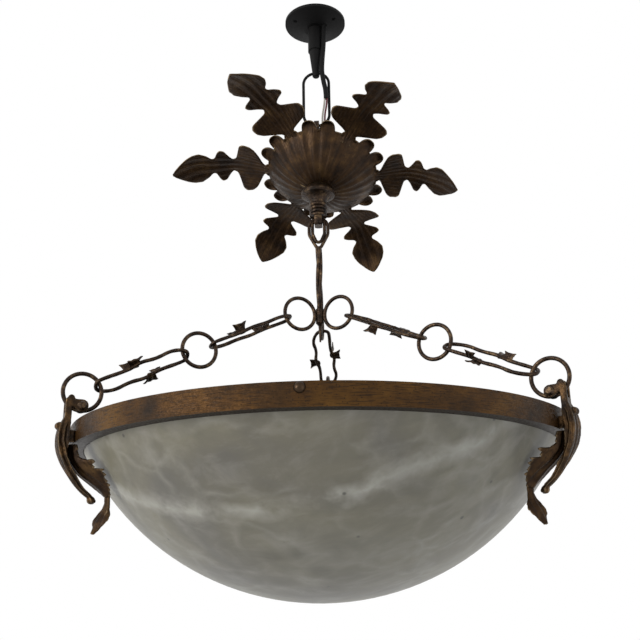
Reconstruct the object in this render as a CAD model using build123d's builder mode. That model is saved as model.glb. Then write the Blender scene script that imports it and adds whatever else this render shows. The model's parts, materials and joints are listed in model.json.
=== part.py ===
"""Alabaster bowl pendant: a stone bowl in a metal band, hung by three leafy chains.

Everything hangs from the ceiling plate, so the origin is the middle of the plate's top face,
+Z is up and every height is negative. All sizes are millimetres. The three chains and their
brackets stand at 90, 210 and 330 degrees, and the usual view looks along +Y from below the rim.
"""

import os
from math import acos, asin, cos, degrees, radians, sin, sqrt

from build123d import *

os.makedirs("parts", exist_ok=True)

# ---------------------------------------------------------------- driving dimensions

GAP = 0.3  # clearance between pieces that hang on or move past each other
SEAT = 0.05  # clearance of a shaft in its hole

CHAIN_AZIMUTHS = {"left": 210.0, "right": 330.0, "rear": 90.0}
ARM_AZIMUTHS = (30.0, 150.0, 270.0)  # lamp arms, midway between the chains

# ceiling plate and hook
PLATE_D = 65.0
PLATE_RIM = 3.0
PLATE_DEPTH = 9.0
PLATE_NECK_D = 24.0
PLATE_HOLE_PCD = 48.0
PLATE_HOLE_D = 4.2
PLATE_HOLE_COUNT = 3
SPIGOT_D = 10.0
SHANK_TOP_D = 16.0
SHANK_STEP = 1.0
SHANK_STEP_DROP = 37.0
SHANK_TIP_D = 7.6
SHANK_TIP_DROP = 69.0
HOOK_HOLE_DROP = 64.0
HOOK_HOLE_D = 4.6

# oval suspension ring
OVAL_WIRE = 3.0
OVAL_WIDTH = 30.0
OVAL_HEIGHT = 67.0
OVAL_BEND = 0.98  # bend radius as a share of the half width, so that the sides keep a straight run

# supply flex and its two cores
FLEX_D = 5.0
CORE_D = 2.0
CORE_SPREAD = 2.5
FLEX_ROUTE = (
    (10.2, -6.0, 0.0),
    (9.8, -5.9, -18.0),
    (9.0, -5.8, -34.0),
    (7.4, -5.6, -51.0),
    (6.6, -5.4, -65.0),
    (8.2, -5.2, -78.0),
    (10.6, -5.0, -89.0),
    (10.6, -5.0, -99.0),
)
CORE_ROUTE = (
    (10.6, -5.0, -99.3),
    (9.8, -5.2, -107.0),
    (7.6, -5.2, -118.0),
    (7.5, -3.2, -130.0),
    (7.5, -3.2, -143.0),
)

# canopy stem, its eye and the terminal block on it
EYE_HOLE_D = 7.0
EYE_D = 13.0
EYE_T = 5.0
EYE_PLAY = 0.85  # room above the wire, so that the eye can tip sideways on the curved wire
STEM_D = 8.0
STEM_LENGTH = 76.5  # from the middle of the eye to the boss
BLOCK_X = 10.0
BLOCK_Y = 9.0
BLOCK_Z = 14.0
BLOCK_DROP = 14.0  # below the middle of the eye

# boss under the canopy
BOSS_D = 34.0
BOSS_RIM = 3.5
BOSS_DOME = 9.0
NECK_D = 17.0
NECK_LENGTH = 15.0
NECK_RIDGES = 4
NECK_GROOVE = 1.0
KNOB_LENGTH = 9.5
KNOB_HOLE_D = 8.8
KNOB_TONGUE = 7.4  # the knob's thickness between the two sides of the hanger's eye
KNOB_FLOOR = 3.0  # metal left under the cross hole

# slip washer under the canopy: a low dome, so that the canopy's hole can tip on it
DOME_R = 20.0
DOME_TOP_R = 5.5

# canopy: fluted cup, small rim lobes and six long leaves
CANOPY_TILT = 18.0
CANOPY_LOW_AZIMUTH = 75.0
CUP_HOLE_D = 25.0
CUP_RIM_R = 56.0
CUP_DEPTH = 28.0
CUP_WALL = 1.6
LOBE_LENGTH = 11.0
LOBE_WIDTH = 15.0
LEAF_AZIMUTHS = (242.0, 302.0, 2.0, 62.0, 122.0, 182.0)
LEAF_TIPS = (149.0, 150.0, 148.0, 145.0, 145.0, 148.0)
LEAF_DROOPS = (26.0, 26.0, 30.0, 30.0, 30.0, 26.0)
LEAF_ARCH = 7.0
LEAF_T = 1.6
LEAF_ROOT_R = 56.0

# hanger: three twisted wires with an eye on top and three rings below
WIRE = 3.6  # chain and hanger wire
HANGER_WIRE = 3.3
HANGER_LENGTH = 102.8  # boss hole to the middle of the hub rings
HANGER_TIP = 26.0  # the wires' pointed end, below the middle of the hub rings
HANGER_TWIST = 200.0  # degrees over the straight length
EYE_OUTER_HALF = 9.45
EYE_INNER_HALF = 6.0
EYE_INNER_HEIGHT = 24.0
EYE_OUTER_HEIGHT = 32.0
EYE_INNER_BEND = 2.5
COLLAR_D = 8.2
COLLAR_LENGTH = 14.0
TIP_SHOULDER = 3.0

# chains
RING_D = 35.0
CHAIN_DROP = 94.572036  # from the hub rings' middle down to the end rings' middle
LINK_END_R = 5.7  # centreline radius of a link's round end
LINK_HUMP = 9.6  # how far a link's side bulges from its middle line
LINK_FLAT = 6.0
LINK_ROLLS = {
    "left": (78.0, 52.0),
    "right": (76.0, 56.0),
    "rear": (90.0, 104.0),
}
IVY_AT = {"left": (14.0, 9.0), "right": (9.0, 9.0), "rear": (9.0, 9.0)}
IVY_TURNS = {"left": (62.0, 0.0), "right": (-62.0, 0.0), "rear": (0.0, 0.0)}
IVY_HALF = 8.0
IVY_RISE = 12.0
IVY_T = 1.8

# band and bowl
BAND_R = 225.0
BAND_HEIGHT = 18.0
BAND_WALL = 2.5
BAND_FLANGE = 12.0
BAND_FLANGE_T = 3.0
BOWL_SPHERE_R = 240.5
BOWL_SHOULDER = 17.811746  # the ball meets the straight waist this far below the band's top
BOWL_WALL = 12.0
BOWL_LIP_TOP = 6.0  # below the band's top
BOWL_LIP_OVERHANG = 6.5

# brackets
PIN_INSET = 4.4  # pin's axis inside the band's outer face
PIN_RISE = 12.6  # pin's axis above the band's top
PIN_D = 3.0
PIN_HEAD_D = 8.4
PIN_HEAD_H = 2.6
HEAD_W = 10.0
SLOT_W = 4.4
LOBE_R = 5.2
STEM_STANDOFF = 3.5
STEM_T = 5.5
NUB_R = 2.7
PAD_TOP = 8.0
EAR_R = 3.2
EAR_W = 8.0
FINGER_BALL_R = 3.4
CLASP_T = 3.0
TAIL_T = 2.2
TAIL_TIP = 91.0  # the tail leaf's tip, below the band's top
CLASP_FOOT = 63.0  # the clasp leaf's tip, below the band's top
RIDGE_T = 9.0  # the ribbed leaf's body, where it covers the clasp leaf's root
BRACKET_SCREW_D = 3.0
BRACKET_SCREW_HEAD_D = 5.0
BRACKET_SCREW_HEAD_H = 1.6
BRACKET_SCREW_DROP = 11.0

# lamp spider, holders and bulbs
ARM_W = 12.0
ARM_T = 2.5
ARM_DROP = 1.5
TAB_T = 2.0
TAB_DROP = 8.5
ARM_SCREW_D = 4.0
ARM_SCREW_HEAD_D = 8.6
ARM_SCREW_HEAD_H = 3.0
ARM_SCREW_DROP = 4.3
HUB_D = 46.0
HUB_HEIGHT = 44.0
HOLDER_D = 28.0
HOLDER_LENGTH = 34.0
HOLDER_DROP = 27.0
HOLDER_WALL = 2.0
CAP_D = 13.6
CAP_LENGTH = 22.0
BULB_D = 45.0
BULB_LENGTH = 48.0


# ---------------------------------------------------------------- heights and radii that follow

oval_half = (OVAL_WIDTH - OVAL_WIRE) / 2
oval_bend_r = oval_half * OVAL_BEND
oval_dip = oval_bend_r - sqrt(oval_bend_r**2 - (SHANK_TIP_D / 2) ** 2)
oval_top = -HOOK_HOLE_DROP - HOOK_HOLE_D / 2 + OVAL_WIRE / 2 + GAP + oval_dip
oval_bottom = oval_top - (OVAL_HEIGHT - OVAL_WIRE)
eye_z = oval_bottom + OVAL_WIRE / 2 + EYE_PLAY - EYE_HOLE_D / 2
block_top = eye_z - BLOCK_DROP
boss_top = eye_z - STEM_LENGTH
neck_top = boss_top - BOSS_RIM - BOSS_DOME
knob_bottom = neck_top - NECK_LENGTH - KNOB_LENGTH
knob_hole_z = knob_bottom + KNOB_FLOOR + KNOB_HOLE_D / 2
eye_inner_top = knob_hole_z - KNOB_HOLE_D / 2 + HANGER_WIRE / 2 + GAP
eye_outer_top = eye_inner_top + HANGER_WIRE + 2 * SEAT
hub_z = knob_hole_z - HANGER_LENGTH
ring_mid_r = (RING_D - WIRE) / 2
ring_inner_r = RING_D / 2 - WIRE
hub_r = COLLAR_D / 2 + RING_D / 2 - GAP
end_ring_r = BAND_R - PIN_INSET
chain_run = end_ring_r - hub_r
chain_length = sqrt(chain_run**2 + CHAIN_DROP**2)
pitch = chain_length / 2
link_length = pitch - 2 * (ring_inner_r - GAP - WIRE)
chain_slope = acos(chain_run / chain_length)
end_ring_z = hub_z - CHAIN_DROP
pin_z = end_ring_z - (ring_inner_r - GAP - PIN_D / 2)
band_top = pin_z - PIN_RISE
band_bottom = band_top - BAND_HEIGHT
flange_r = BAND_R - BAND_FLANGE
waist_r = flange_r - GAP * 2
sphere_z = band_top - BOWL_SHOULDER + sqrt(BOWL_SPHERE_R**2 - waist_r**2)


# ---------------------------------------------------------------- planes and small helpers


def polar(r, azimuth, z):
    """The point at radius r and height z, on the given azimuth."""
    return Vector(r * cos(radians(azimuth)), r * sin(radians(azimuth)), z)


def radial_plane(azimuth, z=0.0):
    """Upright plane through the axis: X runs outwards, Y runs up."""
    outwards = polar(1, azimuth, 0)
    return Plane(origin=(0, 0, z), x_dir=outwards, z_dir=polar(1, azimuth - 90, 0))


def facing_plane(azimuth, z=0.0):
    """Upright plane through the axis that faces outwards: X runs sideways, Y runs up."""
    return Plane(origin=(0, 0, z), x_dir=polar(1, azimuth + 90, 0), z_dir=polar(1, azimuth, 0))


def chain_directions(azimuth):
    """Unit vectors down the chain, sideways, and upwards square to both."""
    down = polar(cos(chain_slope), azimuth, -sin(chain_slope))
    side = polar(1, azimuth + 90, 0)
    return down, side, down.cross(side)


def chain_point(azimuth, along):
    """A point on the chain's line, measured from the middle of the hub ring."""
    return polar(hub_r, azimuth, hub_z) + chain_directions(azimuth)[0] * along


def wire_ring(centre, normal, outer_d, wire_d):
    """A closed round ring of round wire."""
    with BuildPart() as ring:
        with Locations(Plane(origin=centre, z_dir=normal)):
            Torus((outer_d - wire_d) / 2, wire_d / 2)
    return ring.part


def curved_strip(points, thickness):
    """Close a smooth line through the points with its copy moved to the right of its course."""
    places = [Vector(*point) for point in points]
    moved = []
    for number, place in enumerate(places):
        before = places[max(number - 1, 0)]
        after = places[min(number + 1, len(places) - 1)]
        along = (after - before).normalized()
        moved.append(place + Vector(along.Y, -along.X) * thickness)
    Spline(*places)
    Line(places[-1], moved[-1])
    Spline(*reversed(moved))
    Line(moved[0], places[0])


def routed_tube(points, diameter):
    """A round tube along straight runs joined by arcs that are as large as the runs allow."""
    places = [Vector(*point) for point in points]
    radii = []
    for before, corner, after in zip(places, places[1:], places[2:]):
        turn = radians((corner - before).get_angle(after - corner))
        shorter = min((corner - before).length, (after - corner).length)
        radii.append(0.45 * shorter / (sin(turn / 2) / cos(turn / 2)))
    print("tube of", diameter, "mm, arc radii", [round(radius) for radius in radii])
    with BuildPart() as tube:
        with BuildLine() as route:
            FilletPolyline(*places, radius=radii)
        with BuildSketch(Plane(origin=route.line @ 0, z_dir=route.line % 0)):
            Circle(diameter / 2)
        sweep(path=route.line)
    return tube.part


def export(part, name):
    """Label a finished piece and write its file."""
    part.label = name
    export_step(part, f"parts/{name}.step")


# ---------------------------------------------------------------- ceiling plate and hook

with BuildPart() as ceiling_plate:
    with BuildSketch(Plane.XZ):
        with BuildLine():
            Polyline(
                (0, 0),
                (PLATE_D / 2, 0),
                (PLATE_D / 2, -PLATE_RIM),
                (PLATE_NECK_D / 2, -PLATE_DEPTH),
                (0, -PLATE_DEPTH),
                close=True,
            )
        make_face()
    revolve(axis=Axis.Z)
    with Locations((0, 0, 0)):
        Hole(SPIGOT_D / 2 + SEAT)
    with Locations(Vector(*FLEX_ROUTE[0][:2])):
        Hole(FLEX_D / 2 + GAP)
    with PolarLocations(PLATE_HOLE_PCD / 2, PLATE_HOLE_COUNT, start_angle=90):
        Hole(PLATE_HOLE_D / 2)
export(ceiling_plate.part, "ceiling_plate")

with BuildPart() as ceiling_hook:
    with BuildSketch(Plane.XZ):
        with BuildLine():
            Polyline(
                (0, 0),
                (SPIGOT_D / 2, 0),
                (SPIGOT_D / 2, -PLATE_DEPTH),
                (SHANK_TOP_D / 2, -PLATE_DEPTH),
                (SHANK_TOP_D / 2, -SHANK_STEP_DROP),
                (SHANK_TOP_D / 2 - SHANK_STEP, -SHANK_STEP_DROP),
                (SHANK_TIP_D / 2, -HOOK_HOLE_DROP),
                (SHANK_TIP_D / 2, -SHANK_TIP_DROP),
                (0, -SHANK_TIP_DROP),
                close=True,
            )
        make_face()
    revolve(axis=Axis.Z)
    fillet(ceiling_hook.edges().sort_by(Axis.Z)[0], SHANK_TIP_D / 4)
    with BuildSketch(Plane.YZ.offset(-SHANK_TOP_D)):
        with Locations((0, -HOOK_HOLE_DROP)):
            Circle(HOOK_HOLE_D / 2)
    extrude(amount=2 * SHANK_TOP_D, mode=Mode.SUBTRACT)
export(ceiling_hook.part, "ceiling_hook")


# ---------------------------------------------------------------- suspension ring, flex and cores

with BuildPart() as suspension_ring:
    with BuildLine(Plane.XZ) as oval:
        FilletPolyline(
            (oval_half, oval_top),
            (oval_half, oval_bottom),
            (-oval_half, oval_bottom),
            (-oval_half, oval_top),
            radius=oval_bend_r,
            close=True,
        )
    with BuildSketch(Plane(origin=oval.line @ 0, z_dir=oval.line % 0)):
        Circle(OVAL_WIRE / 2)
    sweep(path=oval.line)
export(suspension_ring.part, "suspension_ring")

export(routed_tube(FLEX_ROUTE, FLEX_D), "supply_flex")


def core_route(side):
    """One core's route beside the other: together at the block, spread in the flex's end."""
    route = [(x + side * CORE_SPREAD / 2, y, z) for x, y, z in CORE_ROUTE]
    return route[:-1] + [(*route[-1][:2], block_top)]


export(routed_tube(core_route(-1), CORE_D), "core_white")
export(routed_tube(core_route(1), CORE_D), "core_red")

# ---------------------------------------------------------------- canopy stem and terminal block

with BuildPart() as canopy_stem:
    with BuildSketch(Plane.YZ):
        with Locations((0, eye_z)):
            Circle(EYE_D / 2)
    extrude(amount=EYE_T / 2, both=True)
    with BuildSketch(Plane.XY.offset(neck_top)):
        Circle(STEM_D / 2)
    extrude(amount=eye_z - (EYE_HOLE_D + EYE_D) / 4 - neck_top)
    with BuildSketch(Plane.YZ.offset(-STEM_D)):
        with Locations((0, eye_z)):
            Circle(EYE_HOLE_D / 2)
    extrude(amount=2 * STEM_D, mode=Mode.SUBTRACT)
export(canopy_stem.part, "canopy_stem")

block_x = STEM_D / 2 * 0.7
with BuildPart() as terminal_block:
    with BuildSketch(Plane.XY.offset(block_top)):
        with Locations((block_x + BLOCK_X / 2, -1.5)):
            Rectangle(BLOCK_X, BLOCK_Y)
    extrude(amount=-BLOCK_Z)
    fillet(terminal_block.edges().filter_by(Axis.Z), 1.2)
    with BuildSketch(Plane.XY.offset(block_top)):
        Circle(STEM_D / 2)
    extrude(amount=-BLOCK_Z, mode=Mode.SUBTRACT)
export(terminal_block.part, "terminal_block")

# ---------------------------------------------------------------- boss and slip washer

with BuildPart() as canopy_boss:
    with BuildSketch(Plane.XZ):
        with BuildLine():
            Polyline(
                (STEM_D / 2 + SEAT, neck_top),
                (STEM_D / 2 + SEAT, boss_top),
                (BOSS_D / 2, boss_top),
                (BOSS_D / 2, boss_top - BOSS_RIM),
            )
            RadiusArc(
                (BOSS_D / 2, boss_top - BOSS_RIM),
                (NECK_D / 2, neck_top),
                -(BOSS_D - NECK_D) * 0.6,
            )
            for ridge in range(NECK_RIDGES):
                step = NECK_LENGTH / NECK_RIDGES
                start = neck_top - ridge * step
                ThreePointArc(
                    (NECK_D / 2 - (NECK_GROOVE if ridge else 0), start),
                    (NECK_D / 2 + NECK_GROOVE / 2, start - step / 2),
                    (NECK_D / 2 - NECK_GROOVE, start - step),
                )
            Polyline(
                (NECK_D / 2 - NECK_GROOVE, neck_top - NECK_LENGTH),
                (NECK_D / 2 - NECK_GROOVE, knob_bottom),
                (0, knob_bottom),
                (0, neck_top),
                (STEM_D / 2 + SEAT, neck_top),
            )
        make_face()
    revolve(axis=Axis.Z)
    fillet(canopy_boss.edges().sort_by(Axis.Z)[0], NECK_D / 6)
    with BuildSketch(Plane.YZ.offset(-BOSS_D)):
        with Locations((0, knob_hole_z)):
            Circle(KNOB_HOLE_D / 2)
    extrude(amount=2 * BOSS_D, mode=Mode.SUBTRACT)
    for side in (1, -1):
        with BuildSketch(Plane.XY.offset(knob_bottom - 1)):
            with Locations((side * (KNOB_TONGUE + NECK_D) / 2, 0)):
                Rectangle(NECK_D, 2 * NECK_D)
        extrude(amount=eye_outer_top + HANGER_WIRE / 2 + GAP - knob_bottom + 1, mode=Mode.SUBTRACT)
export(canopy_boss.part, "canopy_boss")

dome_z = boss_top - sqrt(DOME_R**2 - (BOSS_D / 2) ** 2)
dome_top = dome_z + sqrt(DOME_R**2 - DOME_TOP_R**2)

with BuildPart() as slip_washer:
    with BuildSketch(Plane.XZ):
        with BuildLine():
            RadiusArc((DOME_TOP_R, dome_top), (BOSS_D / 2, boss_top), DOME_R)
            Polyline(
                (BOSS_D / 2, boss_top),
                (STEM_D / 2 + GAP, boss_top),
                (STEM_D / 2 + GAP, dome_top),
                (DOME_TOP_R, dome_top),
            )
        make_face()
    revolve(axis=Axis.Z)
export(slip_washer.part, "slip_washer")

# ---------------------------------------------------------------- canopy
# Its hole sits loosely on the domed washer, so it can tip about the middle of the dome's ball.

low = polar(cos(radians(CANOPY_TILT)), CANOPY_LOW_AZIMUTH, -sin(radians(CANOPY_TILT)))
canopy_axis = polar(sin(radians(CANOPY_TILT)), CANOPY_LOW_AZIMUTH, cos(radians(CANOPY_TILT)))
hole_rise = sqrt((DOME_R + SEAT) ** 2 - (CUP_HOLE_D / 2) ** 2)
canopy_origin = Vector(0, 0, dome_z) + canopy_axis * hole_rise
side_axis = canopy_axis.cross(low)


def canopy_direction(azimuth):
    """A direction in the canopy's own level, at an azimuth seen from above."""
    turn = radians(azimuth - CANOPY_LOW_AZIMUTH)
    return low * cos(turn) + side_axis * sin(turn)


def canopy_section(azimuth):
    """Plane through the canopy's axis: X runs outwards, Y runs up the axis."""
    outwards = canopy_direction(azimuth)
    return Plane(origin=canopy_origin, x_dir=outwards, z_dir=outwards.cross(canopy_axis))


def canopy_level(azimuth):
    """Plane square to the canopy's axis, with X outwards."""
    return Plane(origin=canopy_origin, x_dir=canopy_direction(azimuth), z_dir=canopy_axis)


cup_inner = CUP_HOLE_D / 2
lobe_azimuths = [azimuth + offset for azimuth in LEAF_AZIMUTHS for offset in (20, 40)]

with BuildPart() as canopy_cup:
    with BuildSketch(canopy_section(0)):
        with BuildLine():
            outer = ThreePointArc(
                (cup_inner, 0), (CUP_RIM_R * 0.62, CUP_DEPTH * 0.3), (CUP_RIM_R, CUP_DEPTH)
            )
            Line((CUP_RIM_R, CUP_DEPTH), (CUP_RIM_R - CUP_WALL, CUP_DEPTH))
            ThreePointArc(
                (CUP_RIM_R - CUP_WALL, CUP_DEPTH),
                (CUP_RIM_R * 0.62 - CUP_WALL * 0.5, CUP_DEPTH * 0.3 + CUP_WALL),
                (cup_inner, CUP_WALL),
            )
            Line((cup_inner, CUP_WALL), (cup_inner, 0))
        make_face()
    revolve(axis=Axis(canopy_origin, canopy_axis))
    for azimuth in lobe_azimuths:
        with BuildSketch(canopy_level(azimuth).offset(CUP_DEPTH - CUP_WALL)):
            with Locations((CUP_RIM_R + LOBE_LENGTH - LOBE_WIDTH / 2 - 1, 0)):
                Circle(LOBE_WIDTH / 2)
            with Locations((CUP_RIM_R - CUP_WALL / 2, 0)):
                Rectangle(CUP_WALL * 1.5, LOBE_WIDTH * 0.8)
            make_hull()
        extrude(amount=CUP_WALL)
export(canopy_cup.part, "canopy_cup")


def canopy_leaf(azimuth, tip, droop):
    """An oak-like leaf: an arched strip cut to the lobed outline."""
    root = LEAF_ROOT_R
    span = tip - root
    top = CUP_DEPTH + LEAF_ARCH
    with BuildPart() as leaf:
        with BuildSketch(canopy_section(azimuth)):
            with BuildLine():
                curved_strip(
                    (
                        (root, CUP_DEPTH),
                        (root + span * 0.18, CUP_DEPTH + LEAF_ARCH * 0.75),
                        (root + span * 0.42, top),
                        (root + span * 0.7, top - droop * 0.28),
                        (root + span * 0.88, top - droop * 0.65),
                        (tip, top - droop),
                    ),
                    LEAF_T,
                )
            make_face()
        extrude(amount=40, both=True)
        with BuildSketch(canopy_level(azimuth).offset(-2 * CUP_DEPTH)):
            with BuildLine():
                half = Spline(
                    (root, 6.5),
                    (root + span * 0.07, 8.0),
                    (root + span * 0.15, 18.0),
                    (root + span * 0.19, 27.0),
                    (root + span * 0.27, 30.0),
                    (root + span * 0.355, 24.5),
                    (root + span * 0.385, 13.5),
                    (root + span * 0.44, 13.5),
                    (root + span * 0.5, 21.5),
                    (root + span * 0.565, 17.0),
                    (root + span * 0.66, 19.0),
                    (root + span * 0.79, 19.5),
                    (root + span * 0.9, 13.0),
                    (tip + 1, 0),
                )
                mirror(half, about=Plane.XZ)
                Line((root, 6.5), (root, -6.5))
            make_face()
        extrude(amount=6 * CUP_DEPTH, mode=Mode.INTERSECT)
    return leaf.part


for number, (azimuth, tip, droop) in enumerate(zip(LEAF_AZIMUTHS, LEAF_TIPS, LEAF_DROOPS), 1):
    export(canopy_leaf(azimuth, tip, droop), f"canopy_leaf_{number}")

# ---------------------------------------------------------------- hanger rod and hub rings

strand_r = HANGER_WIRE / sqrt(3) - SEAT
strand_top = eye_outer_top - EYE_OUTER_HEIGHT
strand_bottom = hub_z
strand_length = strand_top - strand_bottom


def eye_loop(half_width, top, height, bend_r):
    """A tear-shaped wire loop, pointed where it meets the rod."""
    with BuildPart() as loop:
        with BuildLine(Plane.XZ) as path:
            FilletPolyline(
                (half_width, top),
                (half_width, top - height * 0.55),
                (0, top - height - HANGER_WIRE),
                (-half_width, top - height * 0.55),
                (-half_width, top),
                radius=[bend_r, half_width, HANGER_WIRE, half_width, bend_r],
                close=True,
            )
        with BuildSketch(Plane(origin=path.line @ 0, z_dir=path.line % 0)):
            Circle(HANGER_WIRE / 2)
        sweep(path=path.line)
    return loop.part


with BuildPart() as hanger_rod:
    add(eye_loop(EYE_INNER_HALF, eye_inner_top, EYE_INNER_HEIGHT, EYE_INNER_BEND))
    add(eye_loop(EYE_OUTER_HALF, eye_outer_top, EYE_OUTER_HEIGHT, EYE_OUTER_HALF * OVAL_BEND))
    with BuildLine() as spine:
        Line((0, 0, strand_bottom), (0, 0, strand_top))
    with BuildLine() as twist:
        Helix(
            pitch=strand_length * 360 / HANGER_TWIST,
            height=strand_length,
            radius=HANGER_WIRE,
            center=(0, 0, strand_bottom),
        )
    with BuildSketch(Plane.XY.offset(strand_bottom)):
        with PolarLocations(strand_r, len(CHAIN_AZIMUTHS), start_angle=90):
            Circle(HANGER_WIRE / 2)
        RegularPolygon(strand_r * 0.9, len(CHAIN_AZIMUTHS))
    sweep(path=spine.line, binormal=twist.edge())
    with BuildSketch(Plane.XZ):
        with BuildLine():
            Polyline(
                (0, hub_z + COLLAR_LENGTH / 2),
                (COLLAR_D / 2, hub_z + COLLAR_LENGTH / 2),
                (COLLAR_D / 2, hub_z - COLLAR_LENGTH / 2),
                (HANGER_WIRE / 2, hub_z - COLLAR_LENGTH / 2 - TIP_SHOULDER),
                (HANGER_WIRE / 4, hub_z - HANGER_TIP),
                (0, hub_z - HANGER_TIP),
                close=True,
            )
        make_face()
    revolve(axis=Axis.Z)
export(hanger_rod.part, "hanger_rod")

for side, azimuth in CHAIN_AZIMUTHS.items():
    with BuildPart() as hub_ring:
        add(wire_ring(polar(hub_r, azimuth, hub_z), polar(1, azimuth + 90, 0), RING_D, WIRE))
        with BuildSketch(Plane.XY.offset(hub_z - RING_D)):
            Circle(COLLAR_D / 2)
        extrude(amount=2 * RING_D, mode=Mode.SUBTRACT)
    export(hub_ring.part, f"hub_ring_{side}")

# ---------------------------------------------------------------- chains


def leafy_link(plane, ivy_at, ivy_turn):
    """A long closed link with wavy sides and a fishtail ivy leaf turned out from each side."""
    end = (link_length - WIRE) / 2
    quarter = [
        (end, LINK_END_R * 0.75),
        (end - LINK_END_R, LINK_FLAT),
        (end * 0.3, LINK_FLAT),
        (end * 0.08, LINK_HUMP),
        (-end * 0.28, LINK_HUMP - 1.2),
        (-end * 0.62, LINK_HUMP + 0.6),
        (-end, LINK_END_R * 0.75),
    ]
    route = quarter + [(-x, -y) for x, y in quarter]
    radii = [LINK_END_R * 0.7, 8, 9, 9, 24, 9, LINK_END_R * 0.7]
    with BuildPart() as link:
        with BuildLine(plane) as path:
            FilletPolyline(*route, radius=radii + radii, close=True)
        with BuildSketch(Plane(origin=path.line @ 0, z_dir=path.line % 0)):
            Circle(WIRE / 2)
        sweep(path=path.line)
        share = min(max((0.3 * end - ivy_at) / (0.22 * end), 0), 1)
        bar = LINK_FLAT + share * (LINK_HUMP - LINK_FLAT)
        rise = plane.y_dir * cos(radians(ivy_turn)) + plane.z_dir * sin(radians(ivy_turn))
        for flip in (1, -1):
            foot = plane.origin + (plane.x_dir * ivy_at + plane.y_dir * bar) * flip
            ivy_plane = Plane(origin=foot, x_dir=plane.x_dir * flip, z_dir=plane.x_dir.cross(rise))
            with BuildSketch(ivy_plane.offset(-IVY_T / 2)):
                with BuildLine():
                    Line((-IVY_HALF * 0.8, 0), (-IVY_HALF * 0.95, IVY_RISE))
                    RadiusArc((-IVY_HALF * 0.95, IVY_RISE), (0, IVY_RISE * 0.62), -IVY_HALF * 1.2)
                    RadiusArc((0, IVY_RISE * 0.62), (IVY_HALF, IVY_RISE * 0.92), -IVY_HALF * 1.2)
                    Line((IVY_HALF, IVY_RISE * 0.92), (IVY_HALF * 0.85, 0))
                    Line((IVY_HALF * 0.85, 0), (-IVY_HALF * 0.8, 0))
                make_face()
            extrude(amount=IVY_T)
    return link.part


for side, azimuth in CHAIN_AZIMUTHS.items():
    down, across, upwards = chain_directions(azimuth)
    for name, order, place in (("upper", 0, 0.5), ("lower", 1, 1.5)):
        roll = radians(LINK_ROLLS[side][order])
        normal = upwards * sin(roll) - across * cos(roll)
        link_plane = Plane(origin=chain_point(azimuth, place * pitch), x_dir=down, z_dir=normal)
        link = leafy_link(link_plane, IVY_AT[side][order], IVY_TURNS[side][order])
        export(link, f"{name}_link_{side}")
    for name, place in (("mid_ring", 1), ("end_ring", 2)):
        export(wire_ring(chain_point(azimuth, place * pitch), across, RING_D, WIRE), f"{name}_{side}")

# ---------------------------------------------------------------- band

with BuildPart() as rim_band:
    with BuildSketch(Plane.XZ):
        with BuildLine():
            Polyline(
                (BAND_R, band_top),
                (BAND_R, band_bottom),
                (flange_r, band_bottom),
                (flange_r, band_bottom + BAND_FLANGE_T),
                (BAND_R - BAND_WALL, band_bottom + BAND_FLANGE_T),
                (BAND_R - BAND_WALL, band_top),
                close=True,
            )
        make_face()
    revolve(axis=Axis.Z)
    for azimuth in ARM_AZIMUTHS:
        with BuildSketch(facing_plane(azimuth, band_top).offset(BAND_R - 2 * BAND_WALL)):
            with Locations((0, -ARM_SCREW_DROP)):
                Circle(ARM_SCREW_D / 2 + SEAT)
        extrude(amount=4 * BAND_WALL, mode=Mode.SUBTRACT)
    for azimuth in CHAIN_AZIMUTHS.values():
        with BuildSketch(facing_plane(azimuth, band_top).offset(BAND_R - 2 * BAND_WALL)):
            with Locations((0, -BRACKET_SCREW_DROP)):
                Circle(BRACKET_SCREW_D / 2 + SEAT)
        extrude(amount=4 * BAND_WALL, mode=Mode.SUBTRACT)
export(rim_band.part, "rim_band")

# ---------------------------------------------------------------- alabaster bowl
# Its lip rests on the band's inward flange and its belly hangs through.


def sphere_radius_at(z, sphere_r):
    """Radius of the bowl's ball at a height."""
    return sqrt(sphere_r**2 - (z - sphere_z) ** 2)


lip_r = waist_r + BOWL_LIP_OVERHANG
lip_foot = band_bottom + BAND_FLANGE_T
lip_top = band_top - BOWL_LIP_TOP
belly_top = sphere_z - sqrt(BOWL_SPHERE_R**2 - waist_r**2)
inner_r = BOWL_SPHERE_R - BOWL_WALL
mouth_r = sphere_radius_at(lip_top, inner_r)

with BuildPart() as alabaster_bowl:
    with BuildSketch(Plane.XZ):
        with BuildLine():
            Line((0, sphere_z - inner_r), (0, sphere_z - BOWL_SPHERE_R))
            RadiusArc((0, sphere_z - BOWL_SPHERE_R), (waist_r, belly_top), -BOWL_SPHERE_R)
            Polyline((waist_r, belly_top), (waist_r, lip_foot), (lip_r, lip_foot), (lip_r, lip_top - 4))
            RadiusArc((lip_r, lip_top - 4), (lip_r - 4, lip_top), -4)
            Line((lip_r - 4, lip_top), (mouth_r, lip_top))
            RadiusArc((mouth_r, lip_top), (0, sphere_z - inner_r), inner_r)
        make_face()
    revolve(axis=Axis.Z)
export(alabaster_bowl.part, "alabaster_bowl")

# ---------------------------------------------------------------- brackets
# Each has a forked stem that holds the chain's end ring on a pin, a thick ribbed outer leaf that
# ends in a finger, a clasp leaf that reaches in over the bowl, and a drooping tail leaf.

stem_in = BAND_R + STEM_STANDOFF
stem_out = stem_in + STEM_T
pin_r = end_ring_r
slot_floor = end_ring_z - RING_D / 2 - GAP * 2
root_top = (stem_out - RIDGE_T * 0.55, -BAND_HEIGHT)  # where the clasp leaf meets the bracket's back
root_mid = (stem_out - RIDGE_T * 0.6, -BAND_HEIGHT - 14)
root_foot = (stem_out - RIDGE_T * 1.5, -BAND_HEIGHT - 26)


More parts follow.
